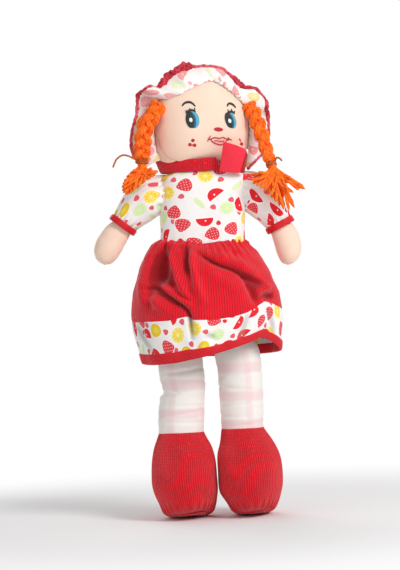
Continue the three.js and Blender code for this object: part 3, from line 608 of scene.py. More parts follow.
# Arms: one cut of skin knit for each, seamed along the back, with a plain mitten hand. Each bows outward
# from the shoulder, and its ball end turns inside the sleeve.
ARM_ANGLES = {"left": math.radians(26), "right": math.radians(38.7)}
SLEEVED_GIRTH = 11.4 * MM
CUFF_FROM = 34 * MM
CUFF_TO_HAND = 46 * MM
ARM_FLAT = (84 * MM, 92 * MM)
ARM_GIRTH = 90 * MM
ARM_SEAM_DEPTH = 0.5 * MM
ARM_SEAM_WIDTH = 1.5 * MM
ARM_CREASE_DEPTH = 0.35 * MM
ARM_CREASE_SIZE = 16 * MM
CUT_INSIDE = 0.01 * MM
HAND_OUT = {"left": 0.0, "right": 4.5 * MM}
HAND_DOWN = {"left": 0.5 * MM, "right": 3.5 * MM}
SIDES = {"left": 1, "right": -1}


def within(share):
    """A share kept between 0 and 1."""
    return max(0.0, min(1.0, share))


def read(rows, place, *columns):
    """What columns of a table hold at a place between its rows."""
    found = [float(np.interp(place, rows[:, 0], rows[:, column])) for column in columns]
    return found if len(found) > 1 else found[0]


def away_from_back(u):
    """The level direction a share of the way round, from the back."""
    return Vector((math.sin(2 * math.pi * u), math.cos(2 * math.pi * u), 0))


def girths(node, upright=Matrix(), rows=90, closed_low=False):
    """Rows of height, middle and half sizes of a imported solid, cut across square to its own up axis."""
    mesh = frame["nodes"][node].data
    points = np.array([upright @ vert.co for vert in mesh.vertices])
    a, b = (points[[edge.vertices[i] for edge in mesh.edges]] for i in (0, 1))
    low, high = points[:, 2].min(), points[:, 2].max()
    table = []
    for height in np.linspace(low + CUT_INSIDE, high - CUT_INSIDE, rows):
        cut = (a[:, 2] - height) * (b[:, 2] - height) < 0
        share = (height - a[cut, 2]) / (b[cut, 2] - a[cut, 2])
        found = a[cut] + share[:, None] * (b[cut] - a[cut])
        top, bottom = found.max(0)[:2], found.min(0)[:2]
        table.append([height, *(top + bottom) / 2, *(top - bottom) / 2])
    table = np.array(table)
    if closed_low:
        table[0, 3:] = 0
    for column in range(1, 5):
        padded = np.pad(table[:, column], 3, mode="edge")
        eased = np.convolve(padded, np.ones(7) / 7, mode="valid")
        table[2:-2, column] = eased[2:-2]
    return table


def girth_point(table, height, u, ease=0.0):
    """The point at a height and a share of the way round, from the back, this much outside the solid."""
    middle_x, middle_y, half_width, half_depth = read(table, height, 1, 2, 3, 4)
    angle = 2 * math.pi * u
    return Vector((
        middle_x + (half_width + ease) * math.sin(angle),
        middle_y + (half_depth + ease) * math.cos(angle),
        height,
    ))


arm_places = {}
arm_widest = {}


def bend_arm(side, spot):
    """Narrows an arm inside its sleeve, and carries its hand outward and down, in the arm's own axes."""
    bare = within((-spot.z - CUFF_FROM) / CUFF_TO_HAND)
    narrow = min(1.0, SLEEVED_GIRTH / arm_widest[side])
    narrow += (1 - narrow) * min(1.0, bare * 4)
    return Vector((
        spot.x * narrow + SIDES[side] * HAND_OUT[side] * bare ** 2, spot.y * narrow,
        spot.z - HAND_DOWN[side] * bare,
    ))


for side, sign in SIDES.items():
    shoulder = pivots[f"{side}_shoulder_swing"]
    arm_places[side] = Matrix.Translation(shoulder) @ Matrix.Rotation(-sign * ARM_ANGLES[side], 4, "Y")
    table = girths(f"{side}_arm_cover", arm_places[side].inverted(), closed_low=True)
    low, high = table[0, 0], table[-1, 0]
    arm_widest[side] = table[:, 3:].max()

    def arm_place(u, v):
        height = (low + high) / 2 + (high - low) / 2 * math.cos(math.pi * v)
        spot = girth_point(table, height, u)
        crease = noise.noise(Vector((spot.x, spot.y, 2.5 * spot.z)) / ARM_CREASE_SIZE)
        outward = Vector((spot.x - table[:, 1].mean(), spot.y, 0)).normalized()
        seam = ARM_SEAM_DEPTH * close_to(min(u, 1 - u) * ARM_GIRTH, ARM_SEAM_WIDTH)
        spot += outward * (ARM_CREASE_DEPTH * crease * math.sin(math.pi * v) - seam)
        return arm_places[side] @ bend_arm(side, spot)

    bm = laid(bmesh.new(), 60, 64, ARM_FLAT, arm_place)
    piece = make_piece(f"{side}_arm_skin", bm, skin, levels=1)
    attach(piece, f"{side}_arm")
    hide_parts(f"{side}_arm_cover")

# Legs: white cotton with soft pale-pink stripes both ways, as a washed-out gingham. Each is sewn shut
# in a ball at the hip, and the stuffing gives way in a crease on the outside of the right leg.
LEG_GIRTH = 140 * MM
STRIPE_PITCH = 28 * MM
STRIPES = [
    # the axis of the cloth that they cross, how far apart and how wide they are, and how pink
    ("Y", STRIPE_PITCH, 9.5 * MM, 0.42), ("X", LEG_GIRTH / 3, 7 * MM, 0.3),
]
STRIPE_EDGE = 1.6 * MM
STRIPE_WOBBLE = 3.5 * MM
STRIPE_WOBBLE_LENGTH = 12 * MM
GINGHAM_THREAD = 1.2 * MM
GINGHAM_RELIEF = 0.12 * MM
LEG_LUMP = 14 * MM
LEG_LUMP_DEPTH = 0.4 * MM
ANKLE_HIDDEN = 2 * MM
ANKLE_DRAWN_IN = 1.6 * MM
LEAST_HALF_WIDTH = 1 * MM
STRIPE_TOP = {"left": 149 * MM, "right": 134 * MM}
STRIPE_SIDE = {"left": 0.456, "right": 0.585}
CREASES = {
    # height, depth, how steep it runs, and where across it is deepest
    "right": [
        (125.2, 1.2, 0.06, -1.0), (138, 0.8, -0.12, 0.3), (146, 0.7, 0.1, 0.4),
        (112, 0.6, -0.08, 0.5), (104, 0.5, 0.1, -0.3), (95, 0.5, -0.05, 0.2),
    ],
    "left": [
        (140, 0.7, 0.1, 0.5), (126, 0.6, -0.1, -0.3), (111, 0.6, 0.1, 0.4),
        (98, 0.5, -0.06, -0.2), (90, 0.5, 0.04, 0.3),
    ],
}
LEG_OUTLINES = {
    # height, and the left and right edge of leg and shoe that the picture shows, in mm
    "right": [
        (0, -45.0, -2.0), (4, -47.5, 1.5), (13, -51.8, 5.4), (24, -56.1, 6.9), (37, -58.2, 6.9),
        (56, -57.2, 6.0), (70, -54.7, 2.8), (84, -49.6, -3.8), (100, -48.9, -3.3), (111.5, -47.7, -2.5),
        (120.5, -45.6, -1.7), (122.7, -44.3, -1.5), (125.2, -41.4, -1.2), (129, -43.0, -1.0),
        (138, -45.6, -1.0), (151, -46.7, -2.0), (160, -47.5, -2.6),
    ],
    "left": [
        (0, 23.0, 58.0), (4, 20.5, 62.5), (12, 15.6, 67.3), (21.5, 9.6, 70.6), (31, 8.2, 71.8),
        (48, 8.0, 71.8), (61, 8.4, 69.6), (73, 11.5, 64.2), (86.5, 13.4, 55.8), (98, 13.6, 56.2),
        (110, 13.2, 56.4), (130, 12.8, 56.7), (145, 12.4, 56.1), (160, 9.8, 55.5),
    ],
}
OUTLINE_TOP = 160 * MM
OUTLINE_BLEND = 14 * MM
SHOE_TOPS = {"right": 85 * MM, "left": 87 * MM}
TOE_RISE = {"right": 0.155, "left": 0.135}
TOE_FROM = 5 * MM
TOE_MIDDLE = {"right": -33 * MM, "left": 33 * MM}
TOE_ROUNDNESS = 6.0
TOE_ROUND_WITHIN = 45 * MM
TOE_HEIGHT = 60 * MM
CREASE_REACH = 1.5
ROLL_FROM_CREASE = 4
ROLL_REACH = 3
ROLL_SHARE = 0.45
outline_rows = {side: np.array(smooth_line(rows, 120)) * MM for side, rows in LEG_OUTLINES.items()}


def fit_outline(side, spot, table, level):
    """Moves a point of leg or shoe across, so that its outline is the one in the picture."""
    rows = outline_rows[side]
    middle_x, half_width = read(table, level, 1, 3)
    half_width = max(half_width, LEAST_HALF_WIDTH)
    left, right = read(rows, spot.z, 1, 2)
    fitted = (left + right) / 2 + (spot.x - middle_x) / half_width * (right - left) / 2
    spot.x += (fitted - spot.x) * within((OUTLINE_TOP + OUTLINE_BLEND - spot.z) / OUTLINE_BLEND)
    return spot


def toe_lift(side, spot):
    """How far the soft toe stands off the ground at a point, in front of the part that the doll rests on."""
    forward = max(0.0, -spot.y - TOE_FROM)
    rounded = TOE_ROUNDNESS * (spot.x - TOE_MIDDLE[side]) ** 2 * min(1.0, forward / TOE_ROUND_WITHIN)
    return (TOE_RISE[side] * forward + rounded) * max(0.0, 1 - spot.z / TOE_HEIGHT)


def weave_height(tree, place, spacing):
    """Threads over and under one another, this far apart, on a cloth's own map."""
    warp, weft = (bands(tree, place, spacing, way, 0.4) for way in "XY")
    return compute(tree, "ADD", warp, weft)


gingham, tree, shader = start_material("faded_gingham", 0.85)
# Plain cotton with the stripes dyed in the yarn, washed pale: the edges are soft, and where two
# stripes cross the pink is deeper. The weave is drawn coarser than it is, or it wouldn't show.
cloth = cloth_place(tree)
split = add_node(tree, "ShaderNodeSeparateXYZ", {0: cloth}).outputs
tone = "#F3EFEA"
for axis, pitch, width, depth in STRIPES:
    wobble = clouds(tree, cloth, STRIPE_WOBBLE_LENGTH, 2.0)
    moved = compute(tree, "MULTIPLY_ADD", wobble, STRIPE_WOBBLE, split[axis])
    cycle = compute(tree, "PINGPONG", moved, pitch / 2)
    edge = (width / 2 - STRIPE_EDGE, width / 2 + STRIPE_EDGE)
    tone = mix(tree, ramp(tree, cycle, *edge, depth, 0.0, soft=True), tone, "#EFC0C4")
finish_surface(tree, shader, tone, weave_height(tree, cloth, GINGHAM_THREAD), GINGHAM_RELIEF, 0.45)


def cloth_corners(bm):
    """Each corner of each face: where its point lies, and its place on the flat cloth, to be changed."""
    uv = bm.loops.layers.uv["cloth"]
    for face in bm.faces:
        for loop in face.loops:
            yield loop.vert.co, loop[uv]


leg_tables = {side: girths(f"{side}_leg_cover") for side in SIDES}
for side in SIDES:
    table = leg_tables[side]
    low, high = table[0, 0], table[-1, 0]

    def leg_place(u, v):
        height = high - (high - low) * (v if v > 0.1 else v * math.sin(5 * math.pi * v))
        if v == 0:
            return Vector((float(table[-1, 1]), float(table[-1, 2]), high))
        spot = fit_outline(side, girth_point(table, height, u), table, height)
        outward = away_from_back(u)
        push = LEG_LUMP_DEPTH * noise.noise(Vector((spot.x, spot.y, 3 * spot.z)) / LEG_LUMP)
        for level, depth, steep, deepest in CREASES[side]:
            off = height / MM - level - steep * (spot.x - table[0, 1]) / MM
            facing = 0.5 + 0.5 * outward.dot(Vector((deepest, -0.6, 0)).normalized())
            rolled = ROLL_SHARE * close_to(abs(off) - ROLL_FROM_CREASE, ROLL_REACH)
            push += depth * MM * facing * (rolled - close_to(off, CREASE_REACH))
        push -= ANKLE_DRAWN_IN * within((SHOE_TOPS[side] - height) / ANKLE_HIDDEN)
        return spot + outward * push

    bm = laid(bmesh.new(), 96, 120, (LEG_GIRTH, high - low), leg_place)
    for spot, corner in cloth_corners(bm):
        corner.uv.y = spot.z - STRIPE_TOP[side] + 20 * STRIPE_PITCH
        corner.uv.x += (2 - STRIPE_SIDE[side]) * LEG_GIRTH
    bmesh.ops.holes_fill(bm, edges=[edge for edge in bm.edges if edge.is_boundary])
    piece = make_piece(f"{side}_stocking_leg", bm, gingham)
    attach(piece, f"{side}_leg")
    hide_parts(f"{side}_leg_cover")

# Shoes: soft bags of ribbed red knit, sewn to the legs at the ankle and gathered in puckers round a
# small flat sole. The ribs run from the ankle down.
RIB_PITCH = 2.6 * MM
SHOE_GIRTH = 232 * MM
SHOE_HEIGHT = 90 * MM
SHOE_WALL = 0.9 * MM
SHOE_LUMP = 22 * MM
SHOE_LUMP_DEPTH = 0.9 * MM
ANKLE_SEAM = 1.6 * MM
ANKLE_SEAM_DEPTH = 0.6 * MM
SOLE_GAP = 0.4 * MM
KNIT_LOOP = 1.9 * MM
KNIT_WEAR = 18 * MM
KNIT_FLECK = 1.3 * MM
CORD_RELIEF = 0.45 * MM
CORD_DEPTH = 0.16 * MM
PUCKERS = 23
PUCKER_DEPTH = 1.3 * MM
PUCKER_HEIGHT = 11 * MM
SOLE_SHARE = 0.8
TURNED_UNDER_SHARE = 0.8
TUCK_SHARE = 0.24
SOLE_ROUNDING = 0.7 * MM


def shade_in_folds(tree):
    """How much painted shade a point of the cloth takes, from how deep in a fold it lies, where its mesh carries
    that.
    """
    return add_node(tree, "ShaderNodeAttribute", attribute_name="painted_shade").outputs["Fac"]


def ribbed_knit(name, face, groove, fleck, pitch=RIB_PITCH, fold_shade_colour=None):
    """Ribbed knit with a bright fleck: raised cords, dark lines between, and painted shade in its folds where a
    fold colour is given.
    """
    material, tree, shader = start_material(name, 0.8)
    shader.inputs["Specular IOR Level"].default_value = 0.2
    cloth = cloth_place(tree)
    across = add_node(tree, "ShaderNodeSeparateXYZ", {0: cloth}).outputs["X"]
    wave = compute(tree, "COSINE", compute(tree, "MULTIPLY", across, 2 * math.pi / pitch))
    cord = ramp(tree, wave, -1.0, 0.2, soft=True)
    worn = ramp(tree, clouds(tree, cloth, KNIT_WEAR, 4.0), 0.35, 0.65, 0.0, 0.3)
    lit = ramp(tree, clouds(tree, cloth, KNIT_FLECK, 1.0), 0.6, 0.75, 0.0, 0.55)
    tone = mix(tree, cord, groove, face)
    tone = mix(tree, worn, tone, groove)
    tone = mix(tree, compute(tree, "MULTIPLY", lit, cord), tone, fleck)
    # Painted shade: deep in the folds the colour goes towards the dark fold colour.
    if fold_shade_colour:
        tone = mix(tree, shade_in_folds(tree), tone, fold_shade_colour)
    loops = bands(tree, cloth, KNIT_LOOP, "Y", 2.5, 2.0)
    height = compute(tree, "MULTIPLY_ADD", loops, 0.3, cord)
    finish_surface(tree, shader, tone, height, CORD_RELIEF, 0.7)
    return material


shoe_knit = ribbed_knit("shoe_rib_knit", "#EC0C22", "#B40818", "#FF6E76")
shoe_tables = {side: girths(f"{side}_shoe_upper") for side in SIDES}


def shoe_point(side, spot):
    """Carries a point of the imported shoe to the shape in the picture, with its toe off the ground."""
    table = shoe_tables[side]
    low, high = table[0, 0], table[-1, 0]
    level = spot.z
    spot = Vector((spot.x, spot.y, low + (level - low) * (SHOE_TOPS[side] - low) / (high - low)))
    spot = fit_outline(side, spot, table, level)
    return spot + Vector((0, 0, toe_lift(side, spot)))


def foot_middle(side, row, height):
    """The middle of a foot: across from the picture's outline, and front to back from a packed section."""
    return Vector((float(outline_rows[side][0, 1:].mean()), float(row[2]), height))


ribs = round(SHOE_GIRTH / RIB_PITCH)
for side in SIDES:
    table = shoe_tables[side]
    low, high = table[0, 0], table[-1, 0]

    def shoe_place(u, v):
        height = high - (high - low) * math.sin(math.pi / 2 * v) ** 0.9
        spot = shoe_point(side, girth_point(table, height, u))
        outward = away_from_back(u)
        angle = 2 * math.pi * u
        turned_under = max(0.0, (v - TURNED_UNDER_SHARE) / (1 - TURNED_UNDER_SHARE)) ** 2
        pucker = math.cos(PUCKERS * angle + 2 * math.sin(3 * angle)) * close_to(height, PUCKER_HEIGHT)
        push = PUCKER_DEPTH * pucker * (1 - turned_under) + CORD_DEPTH * math.cos(ribs * angle)
        push += SHOE_LUMP_DEPTH * noise.noise(spot / SHOE_LUMP) * math.sin(math.pi * v)
        push -= ANKLE_SEAM_DEPTH * close_to(high - height, ANKLE_SEAM)
        spot += outward * push
        spot += (foot_middle(side, table[0], spot.z) - spot) * TUCK_SHARE * turned_under
        return spot - Vector((0, 0, (low - SOLE_GAP) * turned_under))

    bm = laid(bmesh.new(), ribs * 4, 54, (ribs * RIB_PITCH, SHOE_HEIGHT), shoe_place)
    piece = make_piece(f"{side}_shoe_knit", bm, shoe_knit, wall=SHOE_WALL)
    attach(piece, f"{side}_leg")
    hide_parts(f"{side}_shoe_upper")

    bm = copy_of(f"{side}_shoe_sole")
    sole = girths(f"{side}_shoe_sole")
    half_way = sole[len(sole) // 2]
    for vert in bm.verts:
        spot = fit_outline(side, vert.co, sole, half_way[0])
        middle = foot_middle(side, half_way, spot.z)
        spot = middle + (spot - middle) * SOLE_SHARE
        vert.co = spot + Vector((0, 0, toe_lift(side, spot)))
    bm.loops.layers.uv.new("cloth")
    for spot, corner in cloth_corners(bm):
        corner.uv = spot.xy
    rim = [edge for edge in bm.edges if edge.calc_face_angle(0) > math.radians(60)]
    bmesh.ops.bevel(
        bm, geom=rim, offset=SOLE_ROUNDING, offset_type="OFFSET", segments=3, profile=0.5,
        affect="EDGES", material=-1,
    )
    piece = make_piece(f"{side}_sole_knit", bm, shoe_knit)
    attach(piece, f"{side}_leg")
    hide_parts(f"{side}_shoe_sole")

# Fibre filling: loose white polyester fibre, stuffed by hand into torso, head, arms, legs and shoes.
# It fills each cover to the seam, so its surface is soft and lumpy, and it follows its cover's shape.
FIBRE_LUMP = 9 * MM
FIBRE_LUMP_DEPTH = 0.5 * MM
PUCKER_ROOM = 2.2 * MM
TUFT = 1.2 * MM
TUFT_RELIEF = 0.8 * MM
fibre, tree, shader = start_material("polyester_fibre", 1.0, sheen=0.5)
# Loose fibres catch light in all directions, so the eye sees a white fluff without any gloss.
tufts = clouds(tree, own_place(tree), TUFT, 4.0)
finish_surface(tree, shader, mix(tree, tufts, "#EDEDE8", "#FCFCFA"), tufts, TUFT_RELIEF, 0.8)

for node in sorted(frame["nodes"]):
    if not node.endswith("_stuffing"):
        continue
    bm = copy_of(node)
    bmesh.ops.subdivide_edges(bm, edges=bm.edges, cuts=1, use_grid_fill=True)
    bm.normal_update()
    room = PUCKER_ROOM if "_shoe_" in node else 0
    for vert in bm.verts:
        lump = noise.noise(vert.co / FIBRE_LUMP)
        vert.co -= vert.normal * (FIBRE_LUMP_DEPTH * (0.5 + 0.5 * lump) + room)
    side = node.split("_")[0]
    if "_arm_" in node:
        for vert in bm.verts:
            vert.co = arm_places[side] @ bend_arm(side, arm_places[side].inverted() @ vert.co)
    if "_leg_" in node:
        for vert in bm.verts:
            vert.co = fit_outline(side, vert.co, leg_tables[side], vert.co.z)
    if "_shoe_" in node:
        for vert in bm.verts:
            vert.co = shoe_point(side, vert.co)
    filling = make_piece(node.replace("stuffing", "fibre"), bm, fibre)
    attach(filling, body_of[node])
    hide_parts(node)

# Bodice: thin cotton printed with scattered fruit, sewn round the torso, with a seam over each shoulder
# and an armhole in each side. The motifs are general ones: citrus slices, melon wedges and berries.
PRINT_CELL = 19.0 * MM
PRINT_TURN = math.radians(24)
PRINT_SHIFT = 300 * MM
PRINT_GRAIN = 25 * MM
PRINT_THREAD = 1.1 * MM
PRINT_RELIEF = 0.12 * MM
FRUIT_EDGE = 0.13
CITRUS_SLICES = 9
MELON_SEED = (0.6 * MM, 2.4 * MM, 0)
SEED_RADIUS = 0.8 * MM
PIP_PITCH = 2.6 * MM
DRESS_WALL = 0.8 * MM
FRUITS = [
    # kind, colour, the share of the places that it has, half sizes in mm, how much it narrows, and its cut
    ("lime", "#D3EBA8", (0.00, 0.16), (6.4, 6.4), 0.0, -2.0),
    ("leaf", "#D9EDB6", (0.16, 0.24), (2.6, 7.0), 0.0, -2.0),
    ("lemon", "#F1C71C", (0.24, 0.34), (5.8, 6.8), 0.1, -2.0),
    ("citrus", "#F3D42A", (0.34, 0.50), (6.8, 6.8), 0.0, -2.0),
    ("melon", "#E81E2E", (0.50, 0.78), (8.0, 8.0), 0.0, -0.05),
    ("strawberry", "#E23A46", (0.78, 1.01), (6.4, 7.0), 0.4, -2.0),
]
SMALL_FRUITS = [
    ("berry", "#E25E68", (0.00, 0.55), (2.5, 2.9), 0.4, -2.0),
    ("bud", "#D8303C", (0.55, 0.72), (2.1, 2.5), 0.35, -2.0),
]


def fruit_print(name, fade):
    """Printed cotton. Fade is how far the colours are washed out, as where the wrong side shows. Where a piece's
    mesh carries it, painted shade darkens the folds.
    """
    material, tree, shader = start_material(name, 0.8, sheen=0.1)
    cloth = cloth_place(tree)
    tone = mix(tree, clouds(tree, cloth, PRINT_GRAIN), "#EFECE9", "#F7F5F3")

    def turn(place, angle):
        return add_node(tree, "ShaderNodeVectorRotate", {
            "Vector": place, "Angle": angle,
        }, rotation_type="Z_AXIS").outputs[0]

    def spots(place, pitch, scatter):
        return add_node(tree, "ShaderNodeTexVoronoi", {
            "Vector": place, "Scale": 1 / pitch, "Randomness": scatter,
        }, voronoi_dimensions="2D").outputs

    def vectors(operation, *values):
        return add_node(tree, "ShaderNodeVectorMath", dict(enumerate(values)), operation=operation).outputs

    def scatter_fruit(shift):
        moved = vectors("ADD", turn(cloth, PRINT_TURN), (shift, shift, 0))[0]
        cells = spots(moved, PRINT_CELL, 0.3)
        away = vectors("SUBTRACT", moved, cells["Position"])[0]
        chance = add_node(tree, "ShaderNodeSeparateColor", {0: cells["Color"]}).outputs
        return turn(away, compute(tree, "MULTIPLY", chance["Green"], 2 * math.pi)), chance["Red"]

    def print_fruit(tone, spot, chance, fruit):
        kind, colour, share, half, narrows, cut = fruit
        sized = vectors("DIVIDE", spot, (half[0] * MM, half[1] * MM, 1))[0]
        parts = add_node(tree, "ShaderNodeSeparateXYZ", {0: sized}).outputs
        across = compute(tree, "DIVIDE", parts["X"], compute(tree, "MULTIPLY_ADD", parts["Y"], narrows, 1.0))
        flat = add_node(tree, "ShaderNodeCombineXYZ", {"X": across, "Y": parts["Y"]}).outputs[0]
        radius = vectors("LENGTH", flat)["Value"]
        picked = compute(tree, "COMPARE", chance, sum(share) / 2, (share[1] - share[0]) / 2)
        masks = []
        for grow in (1 + FRUIT_EDGE, 1.0):
            inside = compute(tree, "LESS_THAN", radius, grow)
            above = compute(tree, "GREATER_THAN", parts["Y"], cut + 1 - grow)
            masks.append(compute(tree, "MULTIPLY", compute(tree, "MULTIPLY", inside, above), picked))
        if kind not in ("lime", "leaf"):
            tone = mix(tree, masks[0], tone, "#FBF8F6")
        flesh = colour
        if kind in ("citrus", "lime"):
            angle = compute(tree, "ARCTAN2", across, parts["Y"])
            spoke = compute(tree, "PINGPONG", angle, math.pi / CITRUS_SLICES)
            pale = compute(tree, "LESS_THAN", compute(tree, "MULTIPLY", spoke, radius), 0.045)
            rind = compute(tree, "COMPARE", radius, 0.84, 0.05)
            light = "#FBF1A0" if kind == "citrus" else "#E4F2C8"
            flesh = mix(tree, compute(tree, "MAXIMUM", pale, rind), flesh, light)
        if kind == "lemon":
            flesh = mix(tree, ramp(tree, radius, 0.2, 0.8, 1.0, 0.0), flesh, "#F8E04A")
        if kind == "melon":
            seed = compute(tree, "LESS_THAN", vectors("DISTANCE", spot, MELON_SEED)["Value"], SEED_RADIUS)
            flesh = mix(tree, seed, flesh, "#FBE9E4")
        if kind == "strawberry":
            pip = compute(tree, "LESS_THAN", spots(spot, PIP_PITCH, 0.15)["Distance"], 0.16)
            flesh = mix(tree, pip, flesh, "#FBDCD8")
        return mix(tree, masks[1], tone, flesh)

    for fruits, shift in ((SMALL_FRUITS, 0.5 * PRINT_CELL), (FRUITS, 0.0)):
        spot, chance = scatter_fruit(shift)
        for fruit in fruits:
            tone = print_fruit(tone, spot, chance, fruit)
    tone = mix(tree, fade, tone, "#F7E9E6")
    # Painted shade in the folds, where the piece's mesh carries it, as on the skirt's printed band.
    tone = mix(tree, shade_in_folds(tree), tone, "#8E8A80")
    finish_surface(tree, shader, tone, weave_height(tree, cloth, PRINT_THREAD), PRINT_RELIEF, 0.4)
    return material


dress_print = fruit_print("fruit_print_cotton", 0.0)
torso_table = girths("torso_cover")
bodice_low, bodice_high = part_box("bodice")
BODICE_GIRTH = 246 * MM
BODICE_HEIGHT = 84 * MM
BODICE_SQUARENESS = 2.9
BODICE_EASE = 1.4 * MM
SHOULDER_ROUND = 4.0 * MM
WAIST_TUCK_IN = 9.0 * MM
COLLAR_TUCK_IN = 2.5 * MM
ARMHOLE_RADIUS = 13.6 * MM
ARMHOLE_RISE = 2 * MM
ARMHOLE_FROM_MIDDLE = 20 * MM
ARMHOLE_SNAP = 0.9 * MM
BODICE_TUCKS = 26
BODICE_TUCK_SHARE = 0.16
BODICE_LUMP = 20 * MM
BODICE_TUCK_DEPTH = 0.5 * MM
BODICE_LUMP_DEPTH = 0.7 * MM
BODICE_SWELL = [
    # height, and how far the cloth stands off the torso at the doll's right and at its left side, in mm
    (275, 4.6, 0.2), (285, 4.0, 0.6), (300, 3.4, 1.4), (318, 2.6, 3.2), (338, 1.8, 4.4), (344, 1.6, 4.0),
]
swell_rows = np.array(BODICE_SWELL) * MM


def bodice_point(u, height, ease=0.0):
    """The outside of the bodice at a height and a share of the way round, from the back."""
    middle_x, middle_y, half_width, half_depth = read(torso_table, height, 1, 2, 3, 4)
    across, ahead = away_from_back(u).xy
    swell = read(swell_rows, height, 1 if across < 0 else 2)
    power = BODICE_SQUARENESS
    spread = (abs(across) ** power + abs(ahead) ** power) ** (-1 / power)
    over = max(0.0, 1 - (bodice_high.z + COLLAR_TUCK_IN - height) / SHOULDER_ROUND)
    ease += BODICE_EASE - SHOULDER_ROUND * (1 - math.sqrt(max(0.0, 1 - over * over)))
    return Vector((
        middle_x + (half_width + swell + ease) * across * spread,
        middle_y + (half_depth + ease) * ahead * spread,
        height,
    ))


def bodice_place(u, v):
    start, end = bodice_low.z - WAIST_TUCK_IN, bodice_high.z + COLLAR_TUCK_IN
    height = start + (end - start) * v
    spot = bodice_point(u, height)
    tuck = math.cos(BODICE_TUCKS * 2 * math.pi * u + 3 * math.sin(4 * math.pi * u))
    tuck *= close_to(v, BODICE_TUCK_SHARE)
    soft = noise.noise(Vector((spot.x, spot.y, 0.6 * spot.z)) / BODICE_LUMP) * math.sin(math.pi * v)
    return spot + away_from_back(u) * (BODICE_TUCK_DEPTH * tuck + BODICE_LUMP_DEPTH * soft)


bm = laid(bmesh.new(), 176, 64, (BODICE_GIRTH, BODICE_HEIGHT), bodice_place)
bodice_tree = BVHTree.FromBMesh(bm)


def from_armhole(spot):
    """The way to a point from the middle of the armhole on its side, or nothing between the two."""
    if abs(spot.x - neck_axis.x) < ARMHOLE_FROM_MIDDLE:
        return None
    pivot = pivots["left_shoulder_swing" if spot.x > neck_axis.x else "right_shoulder_swing"]
    return Vector((0, spot.y - pivot.y, spot.z - pivot.z - ARMHOLE_RISE))


for vert in bm.verts:
    flat = from_armhole(vert.co)
    if flat and abs(flat.length - ARMHOLE_RADIUS) < ARMHOLE_SNAP:
        vert.co += flat.normalized() * (ARMHOLE_RADIUS - flat.length)
middles = [(face, from_armhole(face.calc_center_median())) for face in bm.faces]
inside = [face for face, flat in middles if flat and flat.length < ARMHOLE_RADIUS]
bmesh.ops.delete(bm, geom=inside, context="FACES")
piece = make_piece("printed_bodice", bm, dress_print, wall=DRESS_WALL)
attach(piece, "torso")
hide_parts("bodice")

# Sleeves: short puffs of the same print, gathered into the armholes and held by a red bias binding at
# the cuff. Each is cut in two near the shoulder.
SLEEVE_LENGTHS = {"left": 34.5 * MM, "right": 33 * MM}
SLEEVE_REACH = 12 * MM
SLEEVE_TOP = (18.6 * MM, 16.2 * MM)
SLEEVE_RISE = 5 * MM
SLEEVE_PUFF = 3.4 * MM
CUFF_RADIUS = 13.2 * MM
CUFF_HEIGHT = 6.5 * MM
CUFF_LENGTH = 100 * MM
ARM_BOW = 7.5 * MM
ARM_LENGTH = 78 * MM
SLEEVE_FLAT = (136 * MM, 42 * MM)
SLEEVE_PLEATS = 17
SLEEVE_CUT = 0.36
SLEEVE_PARTS = [
    # name, where it starts and ends as shares of the sleeve's length, and where it has moved in full
    ("cap", 0.0, SLEEVE_CUT, 0.34), ("end", SLEEVE_CUT, 1.0, 0.62),
]
SLEEVE_HUG_SHARE = 0.16
ARMHOLE_GATHERS, ARMHOLE_GATHER_SHARE = 1.1 * MM, 0.22
CUFF_GATHERS, CUFF_GATHER_SHARE = 0.7 * MM, 0.2
SLEEVE_SEATED = 0.5 * MM
SLEEVE_LUMP = 15 * MM
SLEEVE_LUMP_DEPTH = 1.3 * MM
CUFF_EASE = 0.9 * MM
CUFF_WAVE = 0.25 * MM
STRIP_ROUNDING = (0.55, 0.8)
CUFF_HALF_WALL = 1.1 * MM
BINDING_THREAD = 1.3 * MM
BINDING_WEAR = 7 * MM
BINDING_RELIEF = 0.2 * MM


def folded_strip(bm, around, flat, strip_at, rings=12, closed=True):
    """A folded strip of cloth: strip_at(u) gives its middle, half height along the cloth and half wall."""

    def place(u, v):
        middle, along, out = strip_at(u)
        rise, stand = (
            math.copysign(abs(part) ** power, part)
            for part, power in zip((math.cos(2 * math.pi * v), math.sin(2 * math.pi * v)), STRIP_ROUNDING)
        )
        return middle + along * rise + out * stand

    return laid(bm, around, rings, flat, place, closed=closed)


binding, tree, shader = start_material("bias_binding", 0.6, sheen=0.04)
# Bias binding: plain cotton cut on the cross, so its fine threads slant, and pressed to a soft sheen.
lines = bands(tree, own_place(tree), BINDING_THREAD, "DIAGONAL", 1.0)
worn = compute(tree, "MULTIPLY", lines, clouds(tree, own_place(tree), BINDING_WEAR))
finish_surface(tree, shader, mix(tree, worn, "#C60E1C", "#F02436"), lines, BINDING_RELIEF, 0.5)

